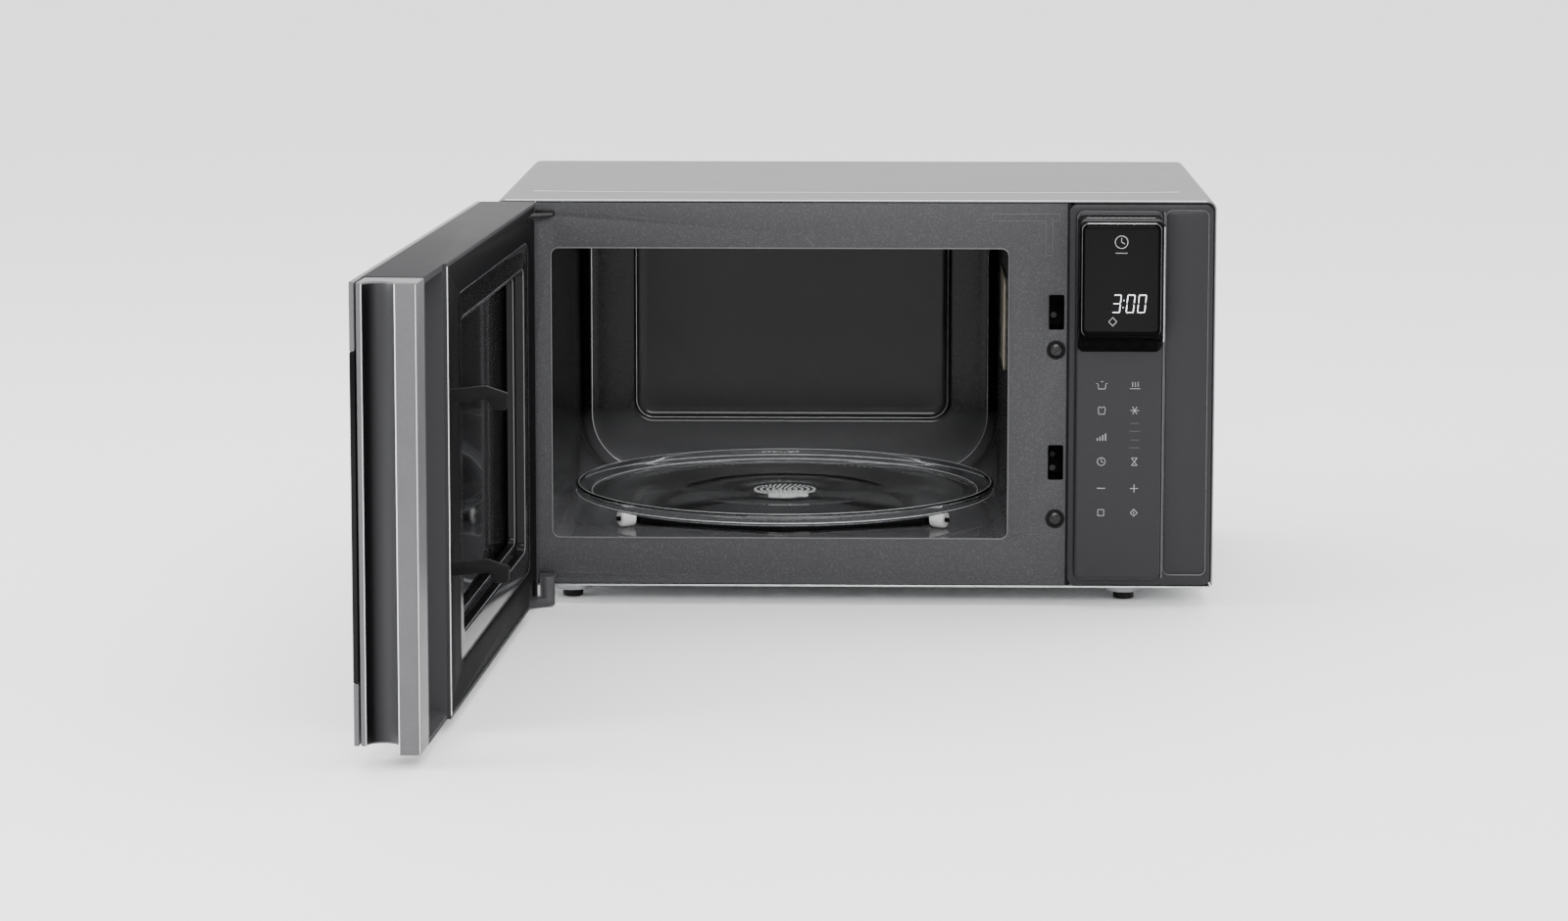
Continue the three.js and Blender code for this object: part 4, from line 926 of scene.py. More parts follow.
def cavity_walls():
    """The enamelled box: square in front, with large lower corners and a pressed wall at the back."""
    start, end, back = 236.0, 268.0, 300.0
    plain, wide = (10, 8), (48, 12)
    fillet, step = 9.0, 3.4
    rings = [cavity_ring(y, 0, *plain) for y in (2.1, 60, 150)]
    for i in range(9):
        t = i / 8
        share = t * t * (3 - 2 * t)
        corners = [near + (far - near) * share for near, far in zip(plain, wide)]
        rings.append(cavity_ring(start + (end - start) * t, 0, *corners))
    for i in range(8):
        a = math.pi / 2 * i / 7
        inset = fillet * (1 - math.cos(a))
        rings.append(cavity_ring(back - fillet + fillet * math.sin(a), inset, wide[0] - inset * 0.7, wide[1]))
    rings.append(cavity_ring(back, fillet + 3, wide[0] - 8, wide[1]))
    x0, x1, z0, z1 = 73.6, 305.9, 80.9, 228
    for inset, sunk in ((-2.4, 0), (-0.6, 0.2), (0.8, 0.8), (2.0, step / 2), (3.4, 2.5), (5.0, 3.1),
                        (7.0, step), (10, step)):
        corner = 14 - max(inset, 0) * 0.8
        loop = rounded(x0 + inset, x1 - inset, z0 + inset, z1 - inset, corner, steps=14)
        rings.append(upright(loop, back + sunk))
    centre_x, centre_z = (x0 + x1) / 2, (z0 + z1) / 2
    last = rings[-1]
    for share in (0.35, 0.7):
        rings.append([(x + (centre_x - x) * share, y, z + (centre_z - z) * share) for x, y, z in last])
    walls = loft("cavity_walls", rings, cap_start=False)
    sheet = walls.modifiers.new("Sheet", "SOLIDIFY")
    sheet.thickness = 1.1 * MM
    sheet.offset = 1.0
    sheet.use_even_offset = True
    apply_modifiers(walls)
    holes = [
        lathe("hole", [(0, -4), (7, -4), (7, 4), (0, 4)], (SPIN.x, SPIN.y, 37.5), steps=40),
        prism("hole", [rounded(85, 155, 155, 205, 4)], "X", 330, 350, CUT_EDGE),
        lathe("hole", [(0, -12), (9, -12), (9, 12), (0, 12)], (340, 205, 216), along="X", steps=40),
    ]
    return cut_away(walls, holes)


def floor_pressing():
    """A low bead round the turntable well, with two stepped corners at each side."""
    reach = min(PLATE_RADIUS + 6, 148.5)
    loop = []
    for start, end, step in ((-62, -34, 4.5), (-22, 22, 0), (34, 62, 4.5)):
        loop += arc(SPIN.x, SPIN.y, reach - step, start, end, 10)
    mirrored = [(2 * SPIN.x - x, y) for x, y in reversed(loop)]
    return swept("floor_pressing", thinned(loop + mirrored), 1.5, "Z", 37.6, flat=0.5)


def cooking_space():
    """The enamelled walls and floor, painted highlights along their pressed edges, and the mica cover on the
    right.
    """
    give(cavity_walls(), "case", "cavity_enamel", "cavity_enamel", "cavity_shell")
    give(floor_pressing(), "case", "cavity_enamel", "cavity_enamel")
    # Painted highlights: pale beads along the back panel's edge and the rear corners.
    panel_glint = swept("back_panel_glint", soft_box(75.4, 304.1, 82.7, 226.2, 13, steps=12), 0.32, "Y", 301.0)
    corner = [(x, z) for x, y, z in cavity_ring(0, 6.5, 42, 8)]
    corner_glint = swept("back_corner_glint", thinned(corner), 0.4, "Y", 297.0)
    give(joined("cavity_painted_glints", [panel_glint, corner_glint]), "case", "cavity_enamel", "painted_highlight")
    cover = prism("mica_cover", [rounded(78, 162, 148, 212, 3)], "X", 338.6, 339.3, 0.15)
    give(cover, "case", "mica", "mica_sheet", "waveguide_cover")


# ---------------------------------------------------------------- turntable


def glass_plate():
    """A pressed glass plate with a raised double rim, a ring of fine ribs and a stepped hub."""
    low, high = PLATE_GLASS[0].z, PLATE_GLASS[1].z
    r = PLATE_RADIUS
    face = low + 3.6
    top = [(0, face), (24, face), (26, face + 0.5), (28, face)]
    for i in range(22):
        radius = 70 + 2.6 * i
        top += [(radius, face), (radius + 1.3, face + 0.28)]
    top += [(r - 14, face + 0.1), (r - 10, face + 0.9), (r - 7, low + 6.4), (r - 4.6, high - 1.0),
            (r - 3.6, high - 0.25), (r - 2.4, high), (r - 1.1, high - 0.2), (r - 0.2, high - 0.9),
            (r, high - 2.0)]
    under = [(r - 0.5, high - 3.4), (r - 1.6, low + 4.9), (r - 4.4, low + 2.4), (r - 8, low + 0.8),
             (r - 12, low + 0.1), (r - 14, low), (24, low), (22, low + 0.9), (0, low + 0.9)]
    return lathe("glass_plate", top + under, (SPIN.x, SPIN.y, 0), steps=160)


def plate_glints():
    """Painted glints: pale opaque lines along the plate's double rim, and pale dots on its stippled hub."""
    low, high = PLATE_GLASS[0].z, PLATE_GLASS[1].z
    r = PLATE_RADIUS
    pieces = []
    for radius, level, thick in ((r - 2.3, high - 0.25, 0.34), (r - 11.5, low + 4.3, 0.3),
                                 (r - 0.6, low + 4.2, 0.26)):
        pieces.append(swept("rim_glint_line", arc(SPIN.x, SPIN.y, radius, 0, 357.5, 143), thick, "Z", level))
    for row in range(5):
        count, reach = 8 + 7 * row, 4 + 4.2 * row
        for i in range(count):
            a = 2 * math.pi * (i + 0.5 * (row % 2)) / count
            at = (SPIN.x + reach * math.cos(a), SPIN.y + reach * math.sin(a), low + 3.55)
            pieces.append(lathe("stipple", [(0, 0.55), (0.75, 0.4), (1.1, 0), (0, 0)], at, steps=8))
    give(joined("plate_glints", pieces), "plate", "clear_glass", "glass_painted_glints")


def roller_wheel(number):
    """A wheel of the roller ring, hollowed round its bore."""
    node = f"roller_{number}"
    body = "roller_" + "abc"[number - 1]
    axis = Vector(next(j for j in frame["joints"] if j["child"] == body)["axis"])
    low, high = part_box(node)
    r, half, bore = 6.05, 5.4, 1.95
    profile = [(bore, -half + 0.3), (bore + 0.4, -half), (2.6, -half), (2.8, -half + 0.8), (3.6, -half + 0.8),
               (3.8, -half), (r - 1.6, -half), (r - 0.7, -half + 0.5), (r - 0.15, -half + 1.6), (r, 0),
               (r - 0.15, half - 1.6), (r - 0.7, half - 0.5), (r - 1.6, half), (bore + 0.4, half),
               (bore, half - 0.3)]
    aim = axis.to_track_quat("Z", "Y").to_matrix().to_4x4()
    where = Matrix.Translation((low + high) / 2) @ aim @ Matrix.Scale(MM, 4)
    wheel = lathe(f"roller_wheel_{number}", profile, (0, 0, 0), steps=48, where=where)
    give(wheel, body, "white_plastic", "white_plastic", node)


def turntable():
    """The glass plate on its roller ring and coupler."""
    give(glass_plate(), "plate", "clear_glass", "clear_glass", "glass_turntable")
    plate_glints()
    refine("roller_ring", 0.7, "ring", "black_plastic", "black_plastic")
    for number in (1, 2, 3):
        roller_wheel(number)
    refine("drive_coupler", 0.5, "coupler", "white_plastic", "white_plastic")


# ---------------------------------------------------------------- control side


def key_panel():
    """The moulded front of the controls: a bezel, a raised key area and a flat strip beside it, with painted
    highlights on its ridge and round the strip, and black plates that paint the shadow in the gaps at its
    edges.
    """
    x0, x1, z0, z1 = PANEL[0].x, 473.7, PANEL[0].z, 268.9
    kx0, kx1, kz0, kz1 = KEYS
    bezel = prism("bezel", [soft_box(x0, x1, z0, z1, 5)], "Y", -1.8, -0.3, 0.6)
    rings = []
    for inset, y in ((0, -1.2), (0, -4.6), (0.15, -5.9), (0.6, -7.0), (1.3, -7.7), (2.2, KEY_FACE + 0.03),
                     (3.2, KEY_FACE)):
        corner = 5.5 - min(inset, 2.2)
        loop = rounded(kx0 + inset, kx1 - inset, kz0 + inset, kz1 - inset, corner, steps=10)
        rings.append(upright(loop, y))
    plateau = loft("plateau", rings)
    strip = prism("strip", [soft_box(443, 470.4, 23.5, 265, 4)], "Y", -2.5, -1.0, 0.55)
    panel = joined("key_panel", [bezel, plateau, strip])
    give(panel, "case", "panel_plastic", "panel_plastic", "control_panel")
    # Faint painted highlights: a pale ridge line and a pale outline round the strip.
    ridge = prism("panel_ridge_highlight", [soft_box(440.9, 441.9, 20.5, 264.5, 0.45, steps=4)], "Y", -6.4, -1.5, 0.42)
    give(ridge, "case", "panel_plastic", "faint_painted_highlight")
    outline = swept("strip_highlight_line", soft_box(442.7, 470.7, 22, 265.3, 4.2), 0.28, "Y", -2.05)
    give(outline, "case", "panel_plastic", "faint_painted_highlight")
    # Painted shadow: black plates behind the bezel's edges, for the shade in the gaps beside the front plate
    # and the cover.
    shadow_strip = prism("panel_shadow_strip", [rounded(377.9, x0 + 1.2, 14.6, 269.4, 0.4, steps=3)], "Y", 0.1, 1.9, 0.2)
    give(shadow_strip, "case", "black_plastic", "black_plastic")
    shadow_plate = prism("panel_shadow_plate", [soft_box(x0 + 0.4, 474.9, z0 + 0.2, 270.1, 5)], "Y", -0.5, 1.2, 0.2)
    give(shadow_plate, "case", "black_plastic", "black_plastic")


def display_housing():
    """The raised display: straight sides, a sloped foot, rounded front edges and a dark window, with painted
    highlights along its front edge, its top and its right side.
    """
    x0, x1, z0, z1 = DISPLAY[0].x, DISPLAY[1].x, DISPLAY[0].z, DISPLAY[1].z
    face, base = DISPLAY[0].y, DISPLAY[1].y
    slope, chamfer, top_fall = 12.9, 1.4, 1.4
    rings = []
    for y, inset in ((base, 0), (base - 9, 0), (base - 18, 0), (face + 5, 0), (face + 3.1, 0.35),
                     (face + 1.7, 0.95), (face + 0.7, 1.9), (face + 0.15, 3.0), (face, 4.2)):
        share = (base - y) / (base - face)
        near = max(0.0, 1 - (y - face) / 5)
        loop = rounded(x0 + inset, x1 - inset - chamfer * near, z0 + slope * share + inset * 0.8,
                       z1 - top_fall * share - inset, 4.4, steps=10)
        rings.append(upright(loop, y))
    give(loft("display_housing", rings), "case", "display_gloss", "display_black", "display_block")
    pane = soft_box(x0 + 3.3, x1 - 4.9, z0 + 17.2, z1 - 4.6, 2.6)
    window = prism("display_window", [pane], "Y", face - WINDOW_RISE, face + 0.6, 0.1)
    give(window, "case", "display_gloss", "display_window")
    # Faint painted highlight round the display's front edge.
    loop = soft_box(x0 + 1.6, x1 - 2.9, z0 + 14.3, z1 - 3.0, 4.0)
    give(swept("display_edge_highlight", loop, 0.3, "Y", face + 1.15), "case", "display_gloss", "faint_painted_highlight")
    # Painted highlights: two pale bars along the display's top edge.
    brow = []
    for level, y in ((z1 - 2.9, face + 1.1), (z1 - 0.85, face + 17)):
        section = rounded(y - 0.3, y + 0.3, level - 0.3, level + 0.3, 0.25, steps=3)
        brow.append(prism("brow", [section], "X", x0 + 5, x1 - 6, 0.1))
    give(joined("display_brow_highlight", brow), "case", "display_gloss", "painted_highlight")
    # Painted highlight along the display's right side.
    edge = soft_box(x1 - 1.0, x1 - 0.2, z0 + 10, z1 - 5, 0.35, steps=4)
    side = prism("display_side_highlight", [edge], "Y", face + 3.2, face + 5.2, 0.34)
    give(side, "case", "display_gloss", "painted_highlight")


def digit_bars(symbol, x, z, width, height, bar):
    """The lit bars of one digit, as slanted hexagons."""
    half = height / 2
    gap, b = 0.28, bar / 2
    across = {"a": height, "g": half, "d": 0}
    upright_bars = {"b": (1, 1), "c": (1, 0), "e": (0, 0), "f": (0, 1)}
    shapes = []
    for part in SEGMENTS[symbol]:
        if part in across:
            level = min(max(across[part], b), height - b)
            points = [(gap, level), (gap + b, level + b), (width - gap - b, level + b), (width - gap, level),
                      (width - gap - b, level - b), (gap + b, level - b)]
        else:
            right, upper = upright_bars[part]
            middle = width - b if right else b
            low = (half if upper else 0) + gap + bar * 0.3
            high = low + half - 2 * gap - bar * 0.6
            points = [(middle, low), (middle + b, low + b), (middle + b, high - b), (middle, high),
                      (middle - b, high - b), (middle - b, low + b)]
        shapes.append([(x + u + v * DIGIT_LEAN, z + v) for u, v in points])
    return shapes


def flat_marks(name, outlines, face, thick=0.12):
    """Thin shapes that lie on a face, each an outline or an outline with its hole."""
    pieces = []
    for outline in outlines:
        loops = outline if isinstance(outline[0], list) else [outline]
        pieces.append(prism(name + "_part", loops, "Y", face - thick, face + 0.02, 0.03))
    return joined(name, pieces)


def stroke(points, width, closed=False):
    """Short bars along a line of points."""
    ends = points + points[:1] if closed else points
    bars = []
    for (x0, z0), (x1, z1) in zip(ends, ends[1:]):
        length = math.hypot(x1 - x0, z1 - z0)
        ux, uz = (x1 - x0) / length * width, (z1 - z0) / length * width
        sx, sz = -uz / 2, ux / 2
        ax, az, bx, bz = x0 - ux / 3, z0 - uz / 3, x1 + ux / 3, z1 + uz / 3
        bars.append([(ax - sx, az - sz), (bx - sx, bz - sz), (bx + sx, bz + sz), (ax + sx, az + sz)])
    return bars


def ring_mark(x, z, r, width):
    return [[arc(x, z, r + width / 2, 0, 348, 29), arc(x, z, r - width / 2, 0, 348, 29)]]


def lit_display():
    """The clock's digits, and two small pictograms above and below them."""
    face = DISPLAY[0].y - WINDOW_RISE
    x, z, wide, tall = 405.4, 201.8, 5.2, 12.0
    bars = []
    for symbol, offset in (("3", 0), ("0", 8.9), ("0", 16.3)):
        bars += digit_bars(symbol, x + offset, z, wide, tall, 0.6)
    for level in (3.6, 8.2):
        bars.append(arc(x + 6.85 + level * DIGIT_LEAN, z + level, 0.36, 0, 330, 11))
    give(flat_marks("clock_digits", bars, face), "case", "white_plastic", "lit_digits")
    diamond = stroke([(406.0, 193.2), (408.6, 196.0), (406.0, 198.8), (403.4, 196.0)], 0.32, closed=True)
    give(flat_marks("start_mark", diamond, face), "case", "white_plastic", "soft_ink")
    clock = ring_mark(411.3, 248.1, 4.1, 0.34)
    clock += stroke([(411.3, 250.7), (411.3, 248.1), (413.3, 247.0)], 0.34)
    clock += stroke([(407.6, 240.9), (415.0, 240.9)], 0.3)
    give(flat_marks("round_icon", clock, face), "case", "white_plastic", "soft_ink")


def shifted(x, z, points):
    return [(x + u, z + v) for u, v in points]


def pot(x, z, w):
    body = shifted(x, z, [(-2.6, 1.2), (-2.2, -2.4), (2.2, -2.4), (2.6, 1.2)])
    return (stroke(body, w, closed=True) + stroke(shifted(x, z, [(-3.6, 1.2), (3.6, 1.2)]), w)
            + stroke(shifted(x, z, [(-0.8, 2.4), (0.8, 2.4)]), w))


def warm_plate(x, z, w):
    marks = stroke(shifted(x, z, [(-3.4, -2.2), (3.4, -2.2)]), w)
    for offset in (-1.8, 0, 1.8):
        wave = [(offset, -1.0), (offset + 0.6, 0.0), (offset - 0.1, 1.0), (offset + 0.5, 2.2)]
        marks += stroke(shifted(x, z, wave), w)
    return marks


def bag(x, z, w):
    outline = [(-1.9, -2.5), (1.9, -2.5), (2.4, 1.6), (1.2, 2.4), (0, 1.6), (-1.2, 2.4), (-2.4, 1.6)]
    return stroke(shifted(x, z, outline), w, closed=True)


def snowflake(x, z, w):
    marks = []
    for degrees in (0, 60, 120):
        a = math.radians(degrees)
        u, v = 2.7 * math.cos(a), 2.7 * math.sin(a)
        marks += stroke([(x - u, z - v), (x + u, z + v)], w)
    return marks


def power_bars(x, z, w):
    marks = []
    for i in range(4):
        left = x - 2.7 + i * 1.8
        marks += stroke([(left, z - 2.2), (left, z - 1.0 + i * 1.05)], w * 1.8)
    return marks


def key_clock(x, z, w):
    return ring_mark(x, z, 2.6, w) + stroke([(x, z + 1.7), (x, z), (x + 1.3, z - 0.6)], w)


def hourglass(x, z, w):
    return stroke(shifted(x, z, [(-1.9, 2.5), (1.9, 2.5), (-1.9, -2.5), (1.9, -2.5)]), w, closed=True)


def minus(x, z, w):
    return stroke(shifted(x, z, [(-2.5, 0), (2.5, 0)]), w * 1.3)


def plus(x, z, w):
    return minus(x, z, w) + stroke(shifted(x, z, [(0, -2.5), (0, 2.5)]), w * 1.3)


def stop_mark(x, z, w):
    return stroke(shifted(x, z, [(-2, -2), (2, -2), (2, 2), (-2, 2)]), w, closed=True)


def start_mark(x, z, w):
    diamond = stroke(shifted(x, z, [(0, -2.4), (2.3, 0), (0, 2.4), (-2.3, 0)]), w, closed=True)
    return diamond + stroke(shifted(x, z, [(0, -1), (0, 1)]), w)


KEY_ROWS = ((149.9, pot, warm_plate), (133.2, bag, snowflake), (115.4, power_bars, None),
            (99.0, key_clock, hourglass), (81.1, minus, plus), (64.8, stop_mark, start_mark))
def key_marks():
    """Plain pictograms printed on the touch keys, and faint list lines in the second column."""
    width = bpy.context.scene.oven_sizes.label
    marks = []
    for level, left, right in KEY_ROWS:
        for x, draw in zip(COLUMNS, (left, right)):
            if draw:
                marks += draw(x, level, width)
    give(flat_marks("key_pictograms", marks, KEY_FACE, 0.06), "case", "white_plastic", "printed_ink")
    lines = []
    for i, level in enumerate(LIST_LEVELS):
        half = 2.6 + (i % 2) * 0.8
        lines += stroke([(COLUMNS[1] - half, level - 3.4), (COLUMNS[1] + half, level - 3.4)], width * 0.8)
    give(flat_marks("list_lines", lines, KEY_FACE, 0.06), "case", "panel_plastic", "faint_ink")


# ---------------------------------------------------------------- door


def door_body():
    refine("door_frame", 0.7, "door", "frame_plastic", "frame_plastic", segments=3)
    # Painted highlight: a pale strip along the inner edge of the door frame.
    edge = soft_box(376.6, 378.6, 9.5, 269.6, 0.5, steps=4)
    strip = prism("frame_highlight_strip", [edge], "Y", -2.2, -0.55, 0.45, where=IN_DOOR)
    give(strip, "door", "silver_paint", "pale_painted_highlight")


def handle():
    """The silver post with a hollow for the fingers along its outer side, painted shade in the hollow and
    painted highlights along its edges.
    """
    x0, x1, inner, outer = 446.3, 473.9, -2.9, -36.4
    near, far, depth = FINGER_GROOVE
    middle, half = (near + far) / 2, (far - near) / 2
    corner = 2.4
    steps = 28

    def hollow(grow, start, end):
        """Points along the hollow, from the outer face of the door towards the oven."""
        turn = [-math.pi / 2 - math.pi * i / steps for i in range(start, end)]
        return [(x1 + (depth - grow) * math.cos(a), middle + (half - grow) * math.sin(a)) for a in turn]

    outline = [(x0, outer)] + arc(x1 - 1, outer + 1, 1, -90, 0, 5) + hollow(0, 0, steps + 1)
    outline += arc(x1 - corner, inner - corner, corner, 0, 90, 6) + [(x0, inner)]
    post = prism("silver_post", [thinned(outline, 0.1)], "Z", 12.5, 270.9, 0.8, where=IN_DOOR)
    foot = [(x0, far - 0.2)] + [point for point in outline if point[1] > far - 0.2]
    lower = prism("silver_post_foot", [thinned(foot, 0.1)], "Z", 7.7, 13.4, 0.8, where=IN_DOOR)
    give(joined("silver_post", [post, lower]), "door", "silver_paint", "silver_paint", "handle_post")
    # Painted shade: a darker silver lining laid in the hollow.
    lining = thinned(hollow(0, 1, steps) + hollow(0.28, 1, steps)[::-1])
    give(prism("groove_painted_shade", [lining], "Z", 13.6, 269.8, 0.05, where=IN_DOOR), "door", "silver_paint",
         "silver_painted_shade")
    edges = []
    # Painted highlights: pale bars along the post's edges.
    for low, high, back, level in ((-15.1, -14.5, 0.7, 8.4), (-4.4, -3.3, 1.5, 8.4),
                                   (-33.6, -33.15, 0.7, 13)):
        section = rounded(x1 - back, x1 - back + 0.78, low, high, 0.2, steps=3)
        edges.append(prism("post_highlight", [section], "Z", level, 270.3, 0.1, where=IN_DOOR))
    give(joined("post_highlights", edges), "door", "silver_paint", "pale_painted_highlight")


def door_skin():
    """The silver trims above and below the black glass of the outer face."""
    for node in ("outer_trim_top", "outer_trim_bottom"):
        refine(node, 0.6, "door", "satin_steel", "silver_paint", segments=3)
    for node in ("door_glass", "post_glass"):
        refine(node, 0.4, "door", "door_black_glass", "gloss_black", segments=3)


def surround_loop(inset):
    """A loop round the window, inside the outline of its surround."""
    x0, x1, z0, z1 = DOOR_WINDOW
    rise = inset * 0.92
    return rounded(x0 + inset, x1 - inset, z0 + rise, z1 - rise, max(9.6 - inset * 0.2, 5), steps=10)


def window_surround():
    """The raised black ring round the window, which steps down to the glass."""
    section = ((0, -4.2), (0, -3.0), (0.25, -2.45), (0.9, -2.2), (8, -2.2), (15.6, -2.2), (16.6, -2.4),
               (17.3, -3.0), (17.6, -4.0), (17.9, -7.4), (18.2, -8.0), (18.8, -8.3), (22.6, -8.4),
               (23.3, -8.6), (23.7, -9.2), (23.9, -12.2), (24.2, -12.9), (22.6, -13.05), (16.6, -13.0),
               (15.6, -12.0), (14.4, -5.0), (12, -4.4))
    rings = [upright(surround_loop(inset), y) for inset, y in section]
    return loft("window_surround", rings, IN_DOOR, closed=True)


def door_inside():
    """The inner panel, the window with its surround and painted highlights along its edges, and the
    perforated screen behind the glass.
    """
    refine("inner_panel", 0.4, "door", "door_enamel", "door_enamel")
    give(window_surround(), "door", "gloss_black", "gloss_black", "choke_cover")
    # Painted highlights: pale beads along the surround's raised edges.
    outlines = []
    for inset, y, thick in ((0.35, -2.5, 0.3), (17.1, -2.9, 0.3), (23.5, -8.9, 0.26)):
        outlines.append(swept("outline", thinned(surround_loop(inset)), thick, "Y", y, where=IN_DOOR))
    give(joined("surround_highlights", outlines), "door", "gloss_black", "gloss_painted_highlight")
    glass = prism("window_pane", [soft_box(44, 324, 41, 239, 4)], "Y", -15, -13.4, 0.3, where=IN_DOOR)
    give(glass, "door", "clear_glass", "window_glass", "inner_window")
    sheet = soft_box(36, 330, 33, 247, 4)
    screen = prism("perforated_screen", [sheet], "Y", -16.9, -15.6, 0.3, where=IN_DOOR)
    give(screen, "door", "door_enamel", "black_screen", "door_screen")


def latch():
    """The bar with its two hooks, and its spring."""
    refine("latch_bar", 0.7, "latch", "black_plastic", "black_plastic", segments=3)
    dress("latch_spring", "zinc_plate")


def hinges():
    """The brackets on the case, and the pins that the door turns on."""
    refine("hinge_bracket_upper", 0.35, "case", "zinc_steel", "dark_zinc")
    refine("hinge_bracket_lower", 0.6, "case", "grey_plastic", "grey_plastic")
    for node in ("hinge_pin_upper", "hinge_pin_lower"):
        dress(node, "zinc_plate")


# ---------------------------------------------------------------- inside the case


def inner_works():
    """The pieces behind the covers keep their shapes and get finishes; the switch plungers' dark grey paints
    the shade in the slots in front of them.
    """
    inside = {
        "board_green": ("display_board", "control_board", "inverter_board", "mains_filter_board"),
        "zinc_plate": ("waveguide", "fan_motor", "turntable_motor"),
        "fin_aluminium": ("magnetron", "heat_sink"),
        "wound_copper": ("inverter_transformer",),
        # Painted shade: the switch plungers are dark grey so that the slots in front of them read as shade.
        "grey_plastic": ("fan_shroud", "switch_plunger_upper", "switch_plunger_lower",
                         "switch_plunger_monitor"),
        "black_plastic": ("fan_blade", "interlock_bracket", "microswitch_upper", "microswitch_lower",
                          "microswitch_monitor"),
        "clear_glass": ("cavity_lamp",),
    }
    for name, nodes in inside.items():
        for node in nodes:
            dress(node, name)


# ---------------------------------------------------------------- stage


def set_camera():
    """The camera stands in front of the right half and looks down at the oven."""
    settings = bpy.context.scene.oven_stage
    data = bpy.data.cameras.new("camera")
    data.lens = settings.lens
    data.sensor_width = FRAME_WIDTH
    data.shift_y = settings.shift
    data.clip_end = 100
    camera = bpy.data.objects.new("camera", data)
    camera.location = IN_CASE @ Vector(CAMERA_PLACE)
    camera.rotation_euler = (math.pi / 2 - settings.pitch, 0, math.radians(CAMERA_TURN))
    bpy.context.scene.collection.objects.link(camera)
    bpy.context.scene.camera = camera


def soft_light(name, at, aim, size, power, tall=None):
    data = bpy.data.lights.new(name, "AREA")
    data.shape = "RECTANGLE"
    data.size = size
    data.size_y = tall or size
    data.energy = power
    light = bpy.data.objects.new(name, data)
    light.location = at
    light.rotation_euler = (Vector(aim) - Vector(at)).to_track_quat("-Z", "Y").to_euler()
    bpy.context.scene.collection.objects.link(light)


def set_lights():
    """Four large soft lights: above, at both sides and in front."""
    settings = bpy.context.scene.oven_stage
    soft_light("soft_top", (0.1, 0.2, 2.3), (0, 0.1, 0.1), 2.4, settings.key_light, 2.0)
    soft_light("soft_left", (-2.1, -0.7, 1.0), (0, 0, 0.15), 1.2, settings.left_light, 1.6)
    soft_light("soft_right", (2.1, -0.9, 1.1), (0, 0, 0.15), 1.2, settings.right_light, 1.6)
    soft_light("soft_front", (0.2, -3.0, 1.5), (0, 0.1, 0.12), 1.3, settings.front_light, 0.7)


def pale_floor():
    """A wide pale floor with a faint mottle."""
    work = bmesh.new()
    bmesh.ops.create_grid(work, x_segments=2, y_segments=2, size=FLOOR_SIZE)
    mesh = bpy.data.meshes.new("floor")
    work.to_mesh(mesh)
    work.free()
    floor = mesh_object("floor", mesh)
    floor.location.z = FLOOR_LEVEL
    material, tree, shader = new_material("floor_paper")
    mottle = noise(tree, place(tree), 3.0, detail=3.0)
    paper = mix_colour(tree, mottle, (0.93, 0.93, 0.93, 1), (0.96, 0.96, 0.96, 1))
    tree.links.new(paper, shader["Base Color"])
    shader["Roughness"].default_value = 0.6
    mesh.materials.append(material)


def pale_world():
    """A pale room that darkens on the side from which the oven is seen."""
    world = bpy.data.worlds.new("studio")
    world.use_nodes = True
    tree = world.node_tree
    toward = add_node(tree, "SeparateXYZ", {0: add_node(tree, "TexCoord").outputs["Generated"]}).outputs["Y"]
    shade = add_node(tree, "MapRange", {"Value": toward, "From Min": -0.9, "From Max": 0.1, "To Min": 0.35})
    tree.links.new(shade.outputs["Result"], tree.nodes["Background"].inputs["Color"])
    tree.nodes["Background"].inputs["Strength"].default_value = bpy.context.scene.oven_stage.surroundings
    bpy.context.scene.world = world


# ---------------------------------------------------------------- add-on


class SetStage(bpy.types.Operator):
    """Sets the camera, the soft lights, the pale floor and the world"""

    bl_idname = "oven.set_stage"
    bl_label = "Set Stage"

    def execute(self, context):
        set_camera()
        set_lights()
        pale_floor()
        pale_world()
        return {"FINISHED"}


class MakeCover(bpy.types.Operator):
    """Makes the folded outer cover"""

    bl_idname = "oven.make_cover"
    bl_label = "Outer Cover"

    def execute(self, context):
        outer_cover()
        return {"FINISHED"}


class MakeBase(bpy.types.Operator):
    """Makes the base plate and the rubber feet"""

    bl_idname = "oven.make_base"
    bl_label = "Base and Feet"

    def execute(self, context):
        base_and_feet()
        return {"FINISHED"}


class MakeBack(bpy.types.Operator):
    """Makes the rear panel, its screws and the cord bushing"""

    bl_idname = "oven.make_back"
    bl_label = "Back of Case"

    def execute(self, context):
        back_of_case()
        return {"FINISHED"}


class MakeFront(bpy.types.Operator):
    """Makes the enamelled front plate, its rim, mark and screws"""

    bl_idname = "oven.make_front"
    bl_label = "Front Plate"

    def execute(self, context):
        front_of_case()
        return {"FINISHED"}


class MakeCavity(bpy.types.Operator):
    """Makes the cooking space"""

    bl_idname = "oven.make_cavity"
    bl_label = "Cooking Space"

    def execute(self, context):
        cooking_space()
        return {"FINISHED"}


class MakeTurntable(bpy.types.Operator):
    """Makes the glass plate, the roller ring, the rollers and the coupler"""

    bl_idname = "oven.make_turntable"
    bl_label = "Turntable"

    def execute(self, context):
        turntable()
        return {"FINISHED"}


class MakeControls(bpy.types.Operator):
    """Makes the key panel and its printed pictograms"""

    bl_idname = "oven.make_controls"
    bl_label = "Key Panel"

    def execute(self, context):
        key_panel()
        key_marks()
        return {"FINISHED"}


class MakeDisplay(bpy.types.Operator):
    """Makes the raised display with its lit digits"""

    bl_idname = "oven.make_display"
    bl_label = "Display"

    def execute(self, context):
        display_housing()
        lit_display()
        return {"FINISHED"}


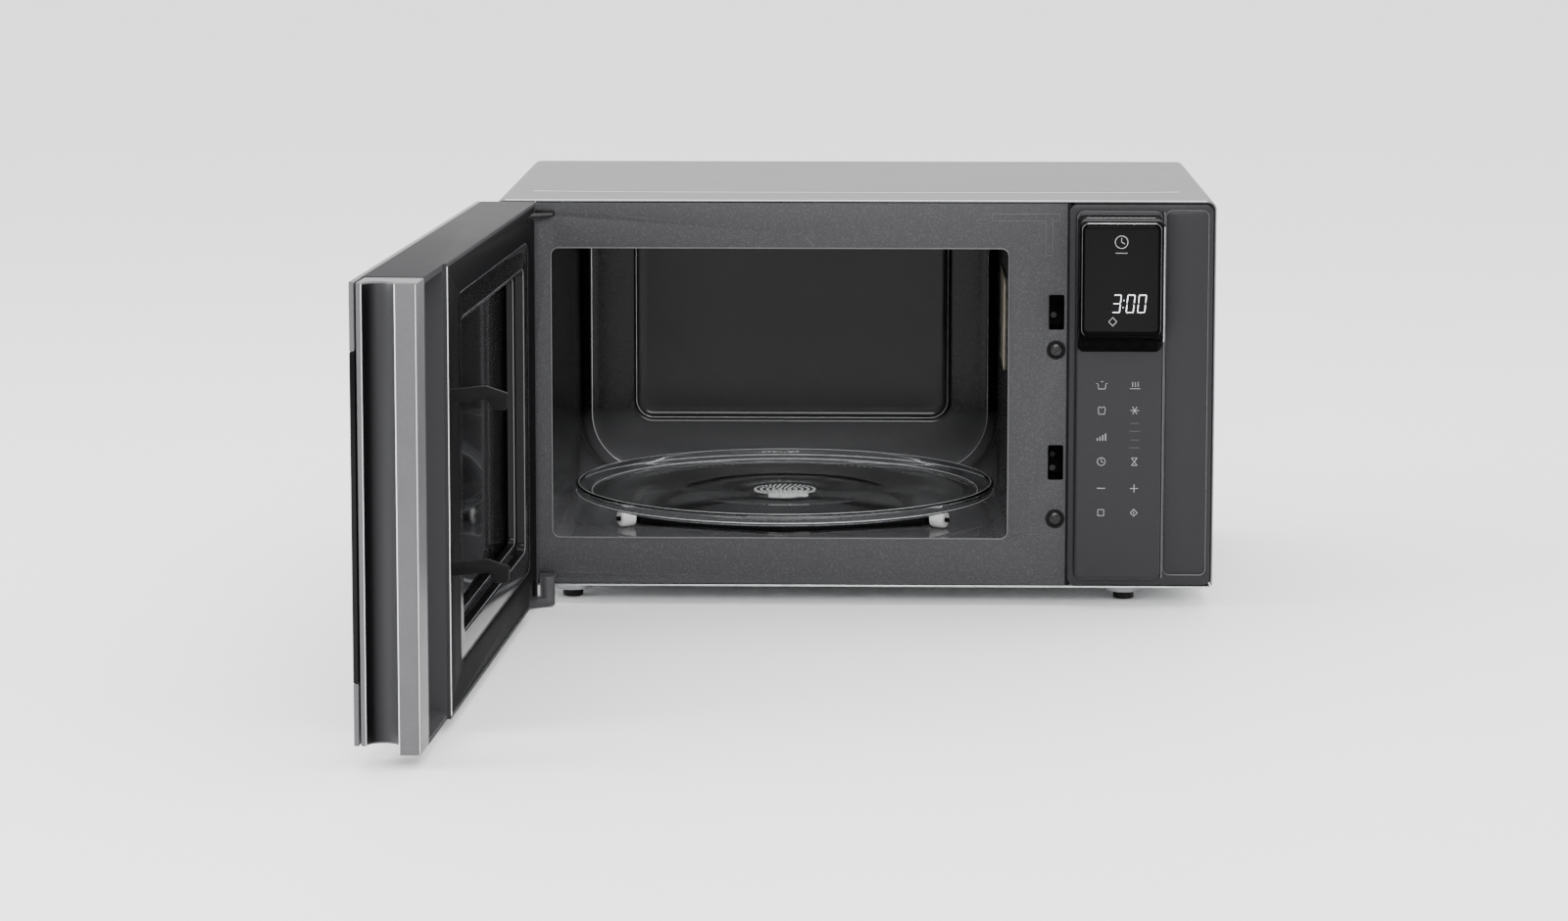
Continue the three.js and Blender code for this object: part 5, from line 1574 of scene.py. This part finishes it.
class MakeDoor(bpy.types.Operator):
    """Makes the door's frame, outer skin and handle post"""

    bl_idname = "oven.make_door"
    bl_label = "Door"

    def execute(self, context):
        door_body()
        door_skin()
        handle()
        return {"FINISHED"}


class MakeDoorInside(bpy.types.Operator):
    """Makes the door's inner panel, window surround, glass and screen"""

    bl_idname = "oven.make_door_inside"
    bl_label = "Door Inside"

    def execute(self, context):
        door_inside()
        return {"FINISHED"}


class MakeLatch(bpy.types.Operator):
    """Makes the latch hooks and the hinges"""

    bl_idname = "oven.make_latch"
    bl_label = "Latch and Hinges"

    def execute(self, context):
        latch()
        hinges()
        return {"FINISHED"}


class DressInside(bpy.types.Operator):
    """Gives the pieces inside the case their finishes"""

    bl_idname = "oven.dress_inside"
    bl_label = "Inner Works"

    def execute(self, context):
        inner_works()
        return {"FINISHED"}


STEPS = (
    SetStage, MakeCover, MakeBase, MakeBack, MakeFront, MakeCavity, MakeTurntable, MakeControls, MakeDisplay,
    MakeDoor, MakeDoorInside, MakeLatch, DressInside,
)


class OvenPanel(bpy.types.Panel):
    """Lists the steps that finish the oven"""

    bl_idname = "VIEW3D_PT_oven"
    bl_label = "Microwave Oven"
    bl_space_type = "VIEW_3D"
    bl_region_type = "UI"
    bl_category = "Oven"

    def draw(self, context):
        layout = self.layout
        for group in ("oven_finishes", "oven_sizes", "oven_stage"):
            settings = getattr(context.scene, group)
            for key in settings.__annotations__:
                layout.prop(settings, key)
        for step in STEPS:
            layout.operator(step.bl_idname)


CLASSES = (OvenFinishes, OvenSizes, OvenStage, *STEPS, OvenPanel)


def register():
    for item in CLASSES:
        bpy.utils.register_class(item)
    bpy.types.Scene.oven_finishes = PointerProperty(type=OvenFinishes)
    bpy.types.Scene.oven_sizes = PointerProperty(type=OvenSizes)
    bpy.types.Scene.oven_stage = PointerProperty(type=OvenStage)


def unregister():
    del bpy.types.Scene.oven_stage
    del bpy.types.Scene.oven_sizes
    del bpy.types.Scene.oven_finishes
    for item in reversed(CLASSES):
        bpy.utils.unregister_class(item)


def main():
    register()
    for step in STEPS:
        name = step.bl_idname.split(".")[1]
        getattr(bpy.ops.oven, name)()


if __name__ == "__main__":
    main()
